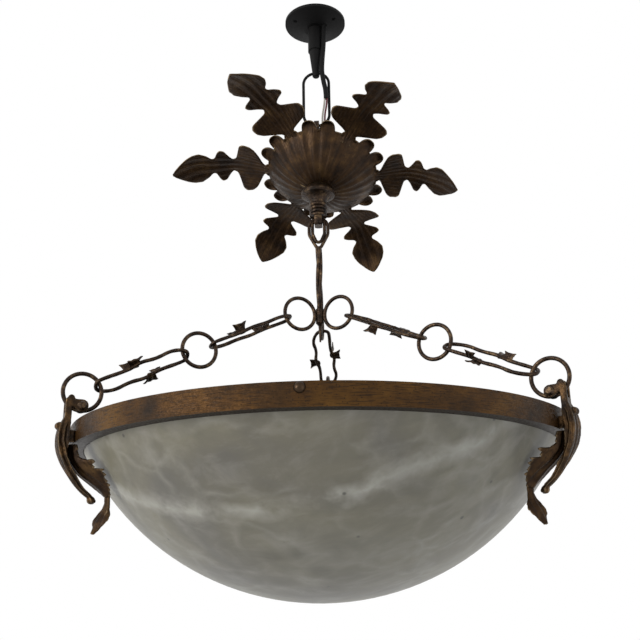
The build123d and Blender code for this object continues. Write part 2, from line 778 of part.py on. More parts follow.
def bracket(azimuth):
    """Forked stem, ribbed outer leaf, ear and finger, in one casting."""
    plane = radial_plane(azimuth)
    with BuildPart() as leaf:
        with BuildSketch(radial_plane(azimuth, band_top)):
            with BuildLine():
                Spline(
                    (stem_out - 0.5, 3.0),
                    (stem_out + 3.5, -6),
                    (stem_out + 4.6, -17),
                    (stem_out + 1.6, -30),
                    (stem_out - 5.0, -42),
                    (stem_out - 14.0, -54),
                    (stem_out - 24.5, -62.5),
                )
                Line((stem_out - 24.5, -62.5), (stem_out - 26.5, -59.0))
                Spline((stem_out - 26.5, -59.0), (stem_out - 19.5, -53), root_foot)
                ThreePointArc(root_foot, root_mid, root_top)
                Polyline(root_top, (root_top[0], 3), (stem_out - 0.5, 3.0))
            make_face()
        extrude(amount=HEAD_W * 2, both=True)
        with BuildSketch(facing_plane(azimuth, band_top).offset(BAND_R - 60)):
            with BuildLine():
                edge = Spline(
                    (3.2, 4),
                    (7.5, -7),
                    (8.5, -20),
                    (7.5, -34),
                    (4.2, -46),
                    (2.5, -56),
                    (2.1, -70),
                )
                mirror(edge, about=Plane.YZ)
                Line((3.2, 4), (-3.2, 4))
                Line((2.1, -70), (-2.1, -70))
            make_face()
        extrude(amount=120, mode=Mode.INTERSECT)
    with BuildPart() as casting:
        with BuildSketch(plane):
            with Locations((pin_r, pin_z)):
                Circle(LOBE_R)
            with Locations((stem_in + NUB_R * 0.8, pin_z + LOBE_R * 0.6)):
                Circle(NUB_R * 0.8)
            make_hull()
            with Locations((stem_in + NUB_R * 0.4, pin_z + LOBE_R * 1.15)):
                Circle(NUB_R)
            with Locations(((stem_in + stem_out) / 2, (pin_z + LOBE_R + band_bottom) / 2)):
                Rectangle(STEM_T, pin_z + LOBE_R - band_bottom)
            with Locations(((BAND_R - 1 + stem_out) / 2, (band_top - PAD_TOP + band_bottom) / 2)):
                Rectangle(stem_out - BAND_R + 1, band_top - PAD_TOP - band_bottom)
        extrude(amount=HEAD_W / 2, both=True)
        with BuildSketch(Plane.XY.offset(band_bottom - 1)):
            Circle(BAND_R)
        extrude(amount=BAND_HEIGHT + 1, mode=Mode.SUBTRACT)
        with BuildSketch(plane):
            with Locations((pin_r, slot_floor + RING_D)):
                Rectangle(2 * RING_D, 2 * RING_D)
        extrude(amount=SLOT_W / 2, both=True, mode=Mode.SUBTRACT)
        add(leaf.part)
        with BuildSketch(plane.offset(-EAR_W / 2)):
            with Locations((stem_out + 3.6, band_top - 5)):
                Circle(EAR_R)
        extrude(amount=EAR_W)
        with Locations(polar(stem_out - 26, azimuth, band_top - 63)):
            Sphere(FINGER_BALL_R)
        with BuildSketch(plane.offset(-HEAD_W)):
            with Locations((pin_r, pin_z)):
                Circle(PIN_D / 2 + SEAT)
        extrude(amount=2 * HEAD_W, mode=Mode.SUBTRACT)
        with BuildSketch(facing_plane(azimuth, band_top).offset(BAND_R - 1)):
            with Locations((0, -BRACKET_SCREW_DROP)):
                Circle(BRACKET_SCREW_D / 2)
        extrude(amount=STEM_STANDOFF + 2, mode=Mode.SUBTRACT)
    return casting.part


def clasp_leaf(azimuth):
    """A toothed leaf that springs from behind the bracket's leaf and reaches in over the bowl."""
    foot = -CLASP_FOOT
    with BuildPart() as leaf:
        with BuildSketch(radial_plane(azimuth, band_top)):
            with BuildLine():
                ThreePointArc(
                    (root_top[0] - SEAT, root_top[1]),
                    (root_mid[0] - SEAT, root_mid[1]),
                    (root_foot[0] - SEAT, root_foot[1]),
                )
                Spline(
                    (root_foot[0] - SEAT, root_foot[1]),
                    (stem_out - 24.0, foot + 15.0),
                    (stem_out - 32.0, foot + 8.5),
                    (stem_out - 38.5, foot),
                )
                Line((stem_out - 38.5, foot), (stem_out - 38.5 - CLASP_T * 1.3, foot))
                Spline(
                    (stem_out - 38.5 - CLASP_T * 1.3, foot),
                    (stem_out - 34.5 - CLASP_T, foot + 7.5),
                    (stem_out - 26.5 - CLASP_T, foot + 15.5),
                    (stem_out - 17.0 - CLASP_T, foot + 26.0),
                    (stem_out - 9.5 - CLASP_T, foot + 37.0),
                    (stem_out - 8.5 - CLASP_T, -BAND_HEIGHT),
                )
                Line((stem_out - 8.5 - CLASP_T, -BAND_HEIGHT), (root_top[0] - SEAT, root_top[1]))
            make_face()
        extrude(amount=HEAD_W * 2, both=True)
        with BuildSketch(facing_plane(azimuth, band_top).offset(BAND_R / 2)):
            with BuildLine():
                edge = Polyline(
                    (6.5, 1 - BAND_HEIGHT),
                    (7, foot + 35),
                    (9.5, foot + 30),
                    (16, foot + 25.5),
                    (11.5, foot + 20.5),
                    (14.5, foot + 14),
                    (10.5, foot + 10.5),
                    (10, foot + 6),
                    (4.5, foot),
                )
                mirror(edge, about=Plane.YZ)
                Line((6.5, 1 - BAND_HEIGHT), (-6.5, 1 - BAND_HEIGHT))
                Line((4.5, foot), (-4.5, foot))
            make_face()
        extrude(amount=BAND_R, mode=Mode.INTERSECT)
    return leaf.part


def tail_leaf(azimuth):
    """The pointed leaf that droops from the clasp leaf's tip."""
    foot, tip = -CLASP_FOOT, -TAIL_TIP
    stalk_r = stem_out - 38.5 - CLASP_T * 0.2
    fall = foot - tip
    with BuildPart() as leaf:
        with BuildSketch(radial_plane(azimuth, band_top)):
            with BuildLine():
                curved_strip(
                    (
                        (stalk_r, foot + 1),
                        (stalk_r + 1.6, foot - fall * 0.14),
                        (stalk_r + 3.0, foot - fall * 0.33),
                        (stalk_r + 6.0, foot - fall * 0.55),
                        (stalk_r + 8.2, foot - fall * 0.77),
                        (stalk_r + 11.5, tip),
                    ),
                    TAIL_T,
                )
            make_face()
        extrude(amount=HEAD_W * 2, both=True)
        with BuildSketch(facing_plane(azimuth, band_top).offset(BAND_R / 2)):
            with BuildLine():
                edge = Spline(
                    (2.4, foot),
                    (2.6, foot - fall * 0.16),
                    (7.0, foot - fall * 0.36),
                    (10.5, foot - fall * 0.55),
                    (7.0, foot - fall * 0.74),
                    (1.2, tip - 1),
                )
                mirror(edge, about=Plane.YZ)
                Line((2.4, foot), (-2.4, foot))
                Line((1.2, tip - 1), (-1.2, tip - 1))
            make_face()
        extrude(amount=BAND_R, mode=Mode.INTERSECT)
    return leaf.part


for side, azimuth in CHAIN_AZIMUTHS.items():
    export(bracket(azimuth), f"bracket_{side}")
    export(clasp_leaf(azimuth), f"clasp_leaf_{side}")
    export(tail_leaf(azimuth), f"tail_leaf_{side}")

with BuildPart() as ring_pins:
    for azimuth in CHAIN_AZIMUTHS.values():
        with BuildSketch(radial_plane(azimuth).offset(-HEAD_W / 2)):
            with Locations((pin_r, pin_z)):
                Circle(PIN_D / 2)
        extrude(amount=HEAD_W)
        for end in (1, -1):
            with BuildSketch(radial_plane(azimuth).offset(end * HEAD_W / 2)):
                with Locations((pin_r, pin_z)):
                    Circle(PIN_HEAD_D / 2)
            extrude(amount=end * PIN_HEAD_H, taper=35)
export(ring_pins.part, "ring_pins")

screw_face = sqrt((BAND_R - BAND_WALL) ** 2 - (BRACKET_SCREW_HEAD_D / 2) ** 2)
with BuildPart() as bracket_screws:
    for azimuth in CHAIN_AZIMUTHS.values():
        with BuildSketch(facing_plane(azimuth, band_top).offset(screw_face)):
            with Locations((0, -BRACKET_SCREW_DROP)):
                Circle(BRACKET_SCREW_D / 2)
        extrude(amount=BAND_R + STEM_STANDOFF - screw_face)
        with BuildSketch(facing_plane(azimuth, band_top).offset(screw_face)):
            with Locations((0, -BRACKET_SCREW_DROP)):
                Circle(BRACKET_SCREW_HEAD_D / 2)
        extrude(amount=-BRACKET_SCREW_HEAD_H)
export(bracket_screws.part, "bracket_screws")

# ---------------------------------------------------------------- lamp spider, holders and bulbs

hub_top = band_top - ARM_DROP
tab_out = sqrt((BAND_R - BAND_WALL) ** 2 - (ARM_W / 2) ** 2) - SEAT

with BuildPart() as lamp_spider:
    for azimuth in ARM_AZIMUTHS:
        with BuildSketch(radial_plane(azimuth, band_top)):
            with BuildLine():
                Polyline(
                    (0, -ARM_DROP),
                    (tab_out, -ARM_DROP),
                    (tab_out, -TAB_DROP),
                    (tab_out - TAB_T, -TAB_DROP),
                    (tab_out - TAB_T, -ARM_DROP - ARM_T),
                    (0, -ARM_DROP - ARM_T),
                    close=True,
                )
            make_face()
        extrude(amount=ARM_W / 2, both=True)
        with BuildSketch(facing_plane(azimuth, band_top).offset(BAND_R - 4 * BAND_WALL)):
            with Locations((0, -ARM_SCREW_DROP)):
                Circle(ARM_SCREW_D / 2)
        extrude(amount=4 * BAND_WALL, mode=Mode.SUBTRACT)
    with BuildSketch(Plane.XY.offset(hub_top)):
        Circle(HUB_D / 2)
    extrude(amount=-ARM_T)
export(lamp_spider.part, "lamp_spider")

with BuildPart() as lamp_hub:
    with BuildSketch(Plane.XY.offset(hub_top - ARM_T)):
        Circle(HUB_D / 2)
    extrude(amount=-HUB_HEIGHT)
    fillet(lamp_hub.edges().sort_by(Axis.Z)[0], 6)
export(lamp_hub.part, "lamp_hub")

holder_z = hub_top - HOLDER_DROP
holder_base = HUB_D / 2 - 1.0
holder_mouth = holder_base + HOLDER_LENGTH

with BuildPart() as lampholders:
    for azimuth in CHAIN_AZIMUTHS.values():
        with BuildSketch(facing_plane(azimuth, holder_z).offset(holder_base)):
            Circle(HOLDER_D / 2)
        extrude(amount=HOLDER_LENGTH)
        with BuildSketch(facing_plane(azimuth, holder_z).offset(holder_mouth)):
            Circle(CAP_D / 2 + SEAT)
        extrude(amount=-CAP_LENGTH, mode=Mode.SUBTRACT)
    with BuildSketch(Plane.XY.offset(hub_top)):
        Circle(HUB_D / 2)
    extrude(amount=-2 * HUB_HEIGHT, mode=Mode.SUBTRACT)
export(lampholders.part, "lampholders")

for side, azimuth in CHAIN_AZIMUTHS.items():
    with BuildPart() as bulb:
        with BuildSketch(radial_plane(azimuth, holder_z)):
            with BuildLine():
                cap_in = holder_mouth - CAP_LENGTH + GAP
                glass_in = holder_mouth + GAP
                Polyline((cap_in, 0), (cap_in, CAP_D / 2), (glass_in, CAP_D / 2))
                Spline(
                    (glass_in, CAP_D / 2),
                    (glass_in + BULB_LENGTH * 0.5, BULB_D / 2),
                    (glass_in + BULB_LENGTH, 0),
                    tangents=((1, 0.6), (0, -1)),
                )
                Line((glass_in + BULB_LENGTH, 0), (cap_in, 0))
            make_face()
        revolve(axis=Axis(polar(0, azimuth, holder_z), polar(1, azimuth, 0)))
    export(bulb.part, f"bulb_{side}")

with BuildPart() as arm_screws:
    for azimuth in ARM_AZIMUTHS:
        with BuildSketch(radial_plane(azimuth, band_top - ARM_SCREW_DROP)):
            with BuildLine():
                head_r, dome = ARM_SCREW_HEAD_D / 2, BAND_R + ARM_SCREW_HEAD_H
                dome_r = (head_r**2 + ARM_SCREW_HEAD_H**2) / (2 * ARM_SCREW_HEAD_H)
                Polyline((dome, 0), (tab_out - TAB_T, 0), (tab_out - TAB_T, ARM_SCREW_D / 2))
                Polyline((tab_out - TAB_T, ARM_SCREW_D / 2), (BAND_R, ARM_SCREW_D / 2), (BAND_R, head_r))
                CenterArc((dome - dome_r, 0), dome_r, 0, degrees(asin(head_r / dome_r)))
            make_face()
        revolve(axis=Axis(polar(0, azimuth, band_top - ARM_SCREW_DROP), polar(1, azimuth, 0)))
export(arm_screws.part, "arm_screws")

print("band top", round(band_top, 1), "hub", round(hub_r, 1), round(hub_z, 1))
print("chain pitch", round(pitch, 1), "end ring", round(end_ring_r, 1), round(end_ring_z, 1))
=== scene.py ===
# %% [markdown]
# # An alabaster bowl pendant
# A stone bowl hangs in a bronze band from three leafy chains. This lesson dresses the plain
# CAD model of it: it models the cast leaves, the forged links and the flex, gives each piece
# its finish, and sets the camera and the light. The CAD model stays the frame for every size.

# %% The frame
import json

import bmesh
import bpy
import numpy as np
from math import atan2, cos, pi, radians, sin, sqrt
from mathutils import Matrix, Vector, noise


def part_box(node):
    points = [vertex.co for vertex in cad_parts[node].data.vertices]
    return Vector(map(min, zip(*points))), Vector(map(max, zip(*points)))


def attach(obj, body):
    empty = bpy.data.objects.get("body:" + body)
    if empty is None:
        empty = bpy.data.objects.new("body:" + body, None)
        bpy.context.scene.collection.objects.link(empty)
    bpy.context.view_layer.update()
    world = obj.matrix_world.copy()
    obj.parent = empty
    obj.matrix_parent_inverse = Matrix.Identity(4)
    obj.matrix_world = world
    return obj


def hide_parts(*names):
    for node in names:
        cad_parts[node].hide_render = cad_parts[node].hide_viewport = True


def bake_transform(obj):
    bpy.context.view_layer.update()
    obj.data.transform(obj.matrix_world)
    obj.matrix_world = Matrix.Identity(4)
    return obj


MM = 0.001
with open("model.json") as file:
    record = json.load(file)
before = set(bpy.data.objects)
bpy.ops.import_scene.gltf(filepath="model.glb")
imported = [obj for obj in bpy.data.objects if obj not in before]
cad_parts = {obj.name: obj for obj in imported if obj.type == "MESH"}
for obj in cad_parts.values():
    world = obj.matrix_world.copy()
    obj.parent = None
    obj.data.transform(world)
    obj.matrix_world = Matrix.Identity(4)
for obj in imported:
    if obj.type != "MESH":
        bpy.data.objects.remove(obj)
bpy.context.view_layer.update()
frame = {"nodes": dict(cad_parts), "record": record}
nodes = frame["nodes"]
scene = bpy.context.scene
print("CAD pieces:", len(nodes))

# %% [markdown]
# ## Heights and radii
# Places come from the frame, so the dressed pieces keep fitting when the CAD changes. The
# band's box gives its radius and top, and the canopy joint's place is the middle of the ball
# that the canopy's hole tips on.

# %% Sizes read from the frame
CHAINS = {"left": 210.0, "right": 330.0, "rear": 90.0}

band_low, band_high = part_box("rim_band")
BAND_R = (band_high[0] - band_low[0]) / 2 / MM
BAND_TOP = band_high[2] / MM
joints = {j["name"]: j for j in frame["record"]["behaviour"]["joints"]}
TIP_BALL = Vector(joints["canopy_tilt"]["pos_m"]) / MM
print("band radius", round(BAND_R, 1), "mm, top at", round(BAND_TOP, 1), "mm")


def polar(r, azimuth, z):
    """A point at radius r and height z, on an azimuth in degrees."""
    return Vector((r * cos(radians(azimuth)), r * sin(radians(azimuth)), z))


# %% [markdown]
# ## The camera
# The band's circle, the bowl's outline and the three brackets in the photograph fix where it
# was taken from: 785 mm in front of the lamp's axis and 138 mm below the rim, looking up.

# %% Camera
CAMERA_DISTANCE = 785.1
CAMERA_BELOW_RIM = 138.2
CAMERA_AZIMUTH = 273.74
CAMERA_PITCH = 17.917
CAMERA_ROLL = -0.95
LENS = 850 / 640 * 36


def aim(obj, place, heading, pitch, roll):
    """Put a camera at a place, looking along a heading, tipped up, and rolled, in degrees."""
    level = polar(cos(radians(pitch)), heading, 0)
    ahead = level + Vector((0, 0, sin(radians(pitch))))
    right = ahead.cross(Vector((0, 0, 1))).normalized()
    up = right.cross(ahead)
    turned_right = right * cos(radians(roll)) + up * sin(radians(roll))
    turned_up = up * cos(radians(roll)) - right * sin(radians(roll))
    turn = Matrix((turned_right, turned_up, -ahead)).transposed()
    obj.matrix_world = Matrix.Translation(place) @ turn.to_4x4()


camera = bpy.data.objects.new("camera", bpy.data.cameras.new("camera"))
scene.collection.objects.link(camera)
camera.data.lens = LENS
camera.data.sensor_width = 36
camera.data.clip_start = 0.01
camera_place = polar(CAMERA_DISTANCE, CAMERA_AZIMUTH, BAND_TOP - CAMERA_BELOW_RIM) * MM
aim(camera, camera_place, CAMERA_AZIMUTH - 180, CAMERA_PITCH, CAMERA_ROLL)
scene.camera = camera
print("camera at", [round(c, 3) for c in camera_place])

# %% [markdown]
# ## Colour and nodes
# Paint is chosen as a hex value, but the renderer adds light in linear values, so one
# function turns a hex colour to linear. One more adds any node with its settings and links.


# %% Helpers for materials
def colour(code):
    """A linear colour from an sRGB hex value."""
    parts = [int(code[i : i + 2], 16) / 255 for i in (1, 3, 5)]
    return [p / 12.92 if p <= 0.04045 else ((p + 0.055) / 1.055) ** 2.4 for p in parts] + [1.0]


def add(tree, kind, settings=None, **sockets):
    """Add a node, set its properties, and fill or link its inputs by name."""
    node = tree.nodes.new(kind)
    for name, value in (settings or {}).items():
        setattr(node, name, value)
    for name, value in sockets.items():
        key = name.replace("_", " ")
        found = [s for s in node.inputs if s.name == key and s.enabled] or [node.inputs[key]]
        if isinstance(value, bpy.types.NodeSocket):
            tree.links.new(value, found[0])
        else:
            found[0].default_value = value
    return node


def finish(name, **values):
    """A new material with its shader's uniform values, and the nodes to work on."""
    material = bpy.data.materials.new(name)
    material.use_nodes = True
    tree = material.node_tree
    shader = tree.nodes["Principled BSDF"]
    for key, value in values.items():
        shader.inputs[key.replace("_", " ")].default_value = value
    return material, tree, shader


def ramp(tree, factor, *stops):
    """A colour ramp through (place, colour) stops; a number is a grey."""
    node = add(tree, "ShaderNodeValToRGB", Fac=factor)
    while len(node.color_ramp.elements) < len(stops):
        node.color_ramp.elements.new(0.5)
    for element, (place, value) in zip(node.color_ramp.elements, stops):
        element.position = place
        element.color = colour(value) if isinstance(value, str) else [value, value, value, 1.0]
    return node.outputs["Color"]


def mix(tree, factor, a, b, blend="MIX"):
    """Mix two colours by a factor."""
    node = tree.nodes.new("ShaderNodeMix")
    node.data_type = "RGBA"
    node.blend_type = blend
    for socket, value in zip((node.inputs[0], node.inputs[6], node.inputs[7]), (factor, a, b)):
        value = colour(value) if isinstance(value, str) else value
        if isinstance(value, bpy.types.NodeSocket):
            tree.links.new(value, socket)
        else:
            socket.default_value = value
    return node.outputs[2]


def in_mm(tree, size, stretch=(1, 1, 1), source="Object", turn=(0, 0, 0)):
    """Coordinates turned, then scaled so that one unit of pattern is that many millimetres."""
    place = add(tree, "ShaderNodeTexCoord").outputs[source]
    scale = [size * MM / s for s in stretch]
    kind = {"vector_type": "TEXTURE"}
    return add(tree, "ShaderNodeMapping", kind, Vector=place, Scale=scale, Rotation=turn).outputs["Vector"]


def cloud(tree, size, detail=3.0, rough=0.5, bend=0.0, **place):
    """A noise pattern of a size in millimetres."""
    vector = in_mm(tree, size, **place)
    made = add(
        tree, "ShaderNodeTexNoise", Vector=vector, Scale=1.0, Detail=detail, Roughness=rough, Distortion=bend
    )
    return made.outputs["Fac"]


def dots(tree, size, settings=None, **place):
    """Distances to scattered points, a size in millimetres apart."""
    made = add(tree, "ShaderNodeTexVoronoi", settings, Vector=in_mm(tree, size, **place), Scale=1.0)
    return made.outputs["Distance"]


def press(tree, shader, *reliefs):
    """Bump the surface by (height, depth in mm) patterns, one on the other."""
    normal = None
    for height, depth in reliefs:
        bump = add(tree, "ShaderNodeBump", Strength=1.0, Distance=depth * MM, Height=height)
        if normal:
            tree.links.new(normal, bump.inputs["Normal"])
        normal = bump.outputs["Normal"]
    tree.links.new(normal, shader.inputs["Normal"])


# %% [markdown]
# ## Patinated bronze
# The band, chains, brackets and canopy are cast and forged bronze under an old dark patina.
# Handling wears the high places back to a warm tan, and pits stay nearly black. A metal with
# a brown colour reflects its surroundings in that colour. Noise patches make the patina. The
# mesh's own pointed edges, which a Geometry node reads, get a tan that is partly that wear and
# partly a painted highlight, and the band's faces that look down get painted shade.


# %% Patinated bronze
def patinated_bronze(name, dark, brown, gold, patch, shine, wear_and_edge_highlight=None, streaks=None, underside_shade=0.0):
    """Bronze with a dark patina in patches, fine pits and streaks, painted shade on faces that look down, and
    a tan on pointed edges that is partly wear and partly painted highlight.
    """
    material, tree, shader = finish(name, Metallic=0.75)
    base = ramp(tree, cloud(tree, patch, 5.0, 0.62), (0.34, dark), (0.52, brown), (0.7, gold))
    grain = cloud(tree, 1.8, 3.0)
    height = grain
    if streaks:
        streak = cloud(tree, 1.0, 3.0, 0.55, **streaks)
        base = mix(tree, ramp(tree, streak, (0.36, 0.7), (0.5, 0.0)), base, dark)
        height = streak
    pit = ramp(tree, dots(tree, 2.4), (0.1, 1.0), (0.24, 0.0))
    surface = add(tree, "ShaderNodeNewGeometry").outputs
    # Painted shade: faces that look down are mixed towards the dark colour, by the strength given for the
    # underside.
    facing = add(tree, "ShaderNodeSeparateXYZ", Vector=surface["Normal"]).outputs["Z"]
    underside_shade_mask = add(tree, "ShaderNodeMath", {"operation": "MULTIPLY_ADD"}, Value=facing)
    underside_shade_mask.inputs[1].default_value = underside_shade_mask.inputs[2].default_value = 0.5
    base = mix(tree, ramp(tree, underside_shade_mask.outputs[0], (0.05, underside_shade), (0.3, 0.0)), mix(tree, pit, base, dark), dark)
    # Pointed edges turn tan: partly wear, partly a painted highlight.
    if wear_and_edge_highlight:
        base = mix(tree, ramp(tree, surface["Pointiness"], (0.53, 0.0), (0.62, 0.8)), base, wear_and_edge_highlight)
    tree.links.new(base, shader.inputs["Base Color"])
    rough = ramp(tree, grain, (0.3, shine - 0.08), (0.7, shine + 0.14))
    tree.links.new(rough, shader.inputs["Roughness"])
    press(tree, shader, (height, 0.5), (grain, 0.15))
    return material


ALONG_UV = {"source": "UV", "stretch": (1 / 1.6, 1 / 26, 1)}
ROUND_BAND = {"stretch": (1 / 9, 1 / 9, 1 / 0.8)}
# The band takes the full painted shade on its faces that look down.
BAND_BRONZE = patinated_bronze(
    "bronze, aged brown-gold band", "#1c1106", "#422a0b", "#5a3d13", 60, 0.48, streaks=ROUND_BAND, underside_shade=1.0
)
CHAIN_BRONZE = patinated_bronze("bronze, forged chain", "#140d07", "#33251a", "#66523a", 7, 0.36)
# The leaf and bracket castings get tan pointed edges, partly wear and partly painted highlight.
LEAF_BRONZE = patinated_bronze(
    "bronze, leaf casting", "#1a0e04", "#33210d", "#4c371c", 18, 0.42, wear_and_edge_highlight="#9a8464", streaks=ALONG_UV
)
CAST_BRONZE = patinated_bronze(
    "bronze, bracket casting", "#150c05", "#34230f", "#5e4426", 9, 0.36, wear_and_edge_highlight="#a28c6a"
)
print("bronze finishes: band, chain, leaf and bracket")

# %% [markdown]
# ## Black iron, wire sleeves and the small plastics
# The ceiling hook and ring are iron under matt black paint, and the flex has a matt PVC
# sheath, so both only show a faint shine. The cores' coloured sleeves are smoother.


# %% Black paint, PVC and phenolic
def plain_finish(name, tint, lighter, rough, metallic=0.0, size=1.5, depth=0.05, gloss=0.5):
    """A painted or moulded surface: one colour with faint grain in its gloss."""
    material, tree, shader = finish(name, Metallic=metallic, Specular_IOR_Level=gloss)
    grain = cloud(tree, size, 3.0)
    tree.links.new(mix(tree, grain, tint, lighter), shader.inputs["Base Color"])
    tree.links.new(ramp(tree, grain, (0.3, rough - 0.06), (0.7, rough + 0.08)), shader.inputs["Roughness"])
    press(tree, shader, (grain, depth))
    return material


BLACK_PAINT = plain_finish("iron, matt black paint", "#030303", "#0a0909", 0.6, gloss=0.15)
FLEX_SHEATH = plain_finish("PVC, matt black flex sheath", "#040404", "#0c0c0c", 0.6, gloss=0.15)
RED_SLEEVE = plain_finish("PVC, dark red core sleeve", "#4a1018", "#5e1c22", 0.4)
WHITE_SLEEVE = plain_finish("PVC, grey-white core sleeve", "#a9a398", "#bdb8ae", 0.4)
TERMINAL = plain_finish("nylon, terminal block", "#3a3228", "#4a4236", 0.5)
PHENOLIC = plain_finish("phenolic, lampholder", "#161210", "#241e1a", 0.35)
DARK_STEEL = plain_finish("steel, blackened screw", "#241a12", "#4a3a2a", 0.32, 0.9, 3.0)
ZINC_STEEL = plain_finish("steel, zinc plated", "#6e7072", "#8c8f92", 0.35, 1.0, 3.0)

# %% [markdown]
# ## Alabaster
# Alabaster is a soft, fine-grained gypsum. Its polished face is cloudy, and light sinks a few
# millimetres into it before it comes back, so subsurface scattering softens the colour. The
# veins are sheets of paler crystal that run through the whole block. A sheet is a plane bent
# by noise: the distance from it gives a band wherever the bowl's skin cuts through it.

# %% Layers of the stone
VEIN_NORMAL = (0.203, 0.701, -0.684)  # the main pale sheet's direction
VEIN_PLACE = 247.8  # its distance from the ceiling plate's middle, in mm
CELLS_AT = (-20.0, -105.0, BAND_TOP - 121.0)  # the darker, cell-like place low in the bowl
BEND = 0.034  # how far noise bends the sheets, in metres
# Clouds are drawn out along the sheet.
DIAGONAL = {"stretch": (0.45, 1, 1), "turn": (0, radians(-17), radians(2))}


def near(tree, value, middle, half_width, soft=1.0):
    """A factor that is 1 where a value is at its middle and falls to 0 at a half width."""
    off = add(tree, "ShaderNodeMath", {"operation": "SUBTRACT"}, Value=value)
    off.inputs[1].default_value = middle
    size = add(tree, "ShaderNodeMath", {"operation": "ABSOLUTE"}, Value=off.outputs[0])
    share = add(tree, "ShaderNodeMath", {"operation": "DIVIDE"}, Value=size.outputs[0])
    share.inputs[1].default_value = half_width
    return ramp(tree, share.outputs[0], (0.0, soft), (1.0, 0.0))


def stone_ground(tree):
    """The stone's own colour: a broad drift of tone, with paler and darker clouds on it."""
    drift = cloud(tree, 150, 3.0, 0.5, 1.0)
    ground = ramp(tree, drift, (0.34, "#646158"), (0.47, "#6c685a"), (0.58, "#74705f"), (0.7, "#7a776b"))
    soft = cloud(tree, 20, 6.0, 0.62, 0.4, **DIAGONAL)
    ground = mix(tree, ramp(tree, soft, (0.5, 0.0), (0.74, 0.4)), ground, "#97948a")
    return mix(tree, ramp(tree, soft, (0.28, 0.4), (0.5, 0.0)), ground, "#57554a")


def pale_sheets(tree, place):
    """How much pale crystal shows: one broad sheet and a faint net of thin ones, both broken up."""
    wave = add(tree, "ShaderNodeTexNoise", Vector=in_mm(tree, 40), Scale=1.0, Detail=5.0)
    bent = add(tree, "ShaderNodeVectorMath", {"operation": "MULTIPLY_ADD"}, Vector=wave.outputs["Color"])
    bent.inputs[1].default_value = (BEND, BEND, BEND)
    tree.links.new(place, bent.inputs[2])
    across = add(tree, "ShaderNodeVectorMath", {"operation": "DOT_PRODUCT"}, Vector=bent.outputs[0])
    across.inputs[1].default_value = VEIN_NORMAL
    shift = BEND / 2 * sum(VEIN_NORMAL)  # the bend's mean, taken off again
    main = near(tree, across.outputs["Value"], VEIN_PLACE * MM + shift, 0.013, 0.75)
    broken = ramp(tree, cloud(tree, 40, 4.0, 0.6), (0.42, 0.1), (0.6, 1.0))
    veins = mix(tree, 1.0, main, broken, "MULTIPLY")
    seams = add(tree, "ShaderNodeMapping", Vector=bent.outputs[0], Scale=(1 / 0.045, 1 / 0.03, 1 / 0.03))
    seam = add(
        tree, "ShaderNodeTexVoronoi", {"feature": "DISTANCE_TO_EDGE"}, Vector=seams.outputs[0], Scale=1.0
    )
    net = ramp(tree, seam.outputs["Distance"], (0.0, 0.26), (0.15, 0.0))
    return mix(tree, 1.0, veins, mix(tree, 1.0, net, broken, "MULTIPLY"), "ADD")


def cells_and_specks(tree, place, ground):
    """Dark cells low in the bowl, and a few dark specks all over."""
    away = add(tree, "ShaderNodeVectorMath", {"operation": "DISTANCE"}, Vector=place)
    away.inputs[1].default_value = [c * MM for c in CELLS_AT]
    low = ramp(tree, away.outputs["Value"], (0.02, 0.6), (0.075, 0.0))
    cell = ramp(tree, dots(tree, 19, {"feature": "SMOOTH_F1"}), (0.25, 1.0), (0.6, 0.0))
    ground = mix(tree, mix(tree, 1.0, low, cell, "MULTIPLY"), ground, "#4e4a3c")
    spot = ramp(tree, dots(tree, 30), (0.035, 0.75), (0.07, 0.0))
    return mix(tree, spot, ground, "#33322c")


# %% [markdown]
# The layers go on one another: the ground first, the pale sheets over it, and the cells and
# specks last. The polish is satin, so the stone shows its clouds and only a soft shine.


# %% Alabaster
def alabaster():
    """Polished alabaster with cloudy patches, a pale vein sheet, darker cells and specks."""
    material, tree, shader = finish(
        "alabaster, polished",
        Roughness=0.42,
        IOR=1.52,
        Subsurface_Weight=0.3,
        Subsurface_Scale=0.008,
        Subsurface_Radius=(1.0, 0.9, 0.75),
    )
    place = add(tree, "ShaderNodeTexCoord").outputs["Object"]
    stone = mix(tree, pale_sheets(tree, place), stone_ground(tree), "#a4a297")
    stone = cells_and_specks(tree, place, stone)
    tree.links.new(stone, shader.inputs["Base Color"])
    press(tree, shader, (cloud(tree, 9, 2.0), 0.1))
    return material


ALABASTER = alabaster()
print("stone:", ALABASTER.name)

# %% [markdown]
# ## Opal glass
# A bulb's envelope is glass with a white coat inside, which spreads the light evenly.


# %% Opal glass
def opal_glass():
    """Opal bulb glass: white, glossy, with a trace of light through it."""
    material, tree, shader = finish(
        "glass, opal bulb", Roughness=0.18, Subsurface_Weight=0.2, Subsurface_Scale=0.003, IOR=1.5
    )
    tree.links.new(mix(tree, cloud(tree, 30), "#dedcd4", "#eae8e0"), shader.inputs["Base Color"])
    return material


OPAL = opal_glass()
print("glass:", OPAL.name)

# %% [markdown]
# ## Finishes for the plain pieces
# Turned, bent and moulded pieces are already true in the CAD model, so they keep their solids
# and only take a finish.

# %% Each piece's finish
finish_of = {
    "ceiling_plate": BLACK_PAINT,
    "ceiling_hook": BLACK_PAINT,
    "suspension_ring": BLACK_PAINT,
    "supply_flex": FLEX_SHEATH,
    "core_red": RED_SLEEVE,
    "core_white": WHITE_SLEEVE,
    "terminal_block": TERMINAL,
    "rim_band": BAND_BRONZE,
    "alabaster_bowl": ALABASTER,
    "lampholders": PHENOLIC,
    "arm_screws": DARK_STEEL,
    "bracket_screws": ZINC_STEEL,
    "lamp_spider": BAND_BRONZE,
    "lamp_hub": BAND_BRONZE,
}
for name, obj in nodes.items():
    material = OPAL if name.startswith("bulb") else finish_of.get(name, CHAIN_BRONZE)
    obj.data.materials.clear()
    obj.data.materials.append(material)
print("finished", len(nodes), "CAD pieces")

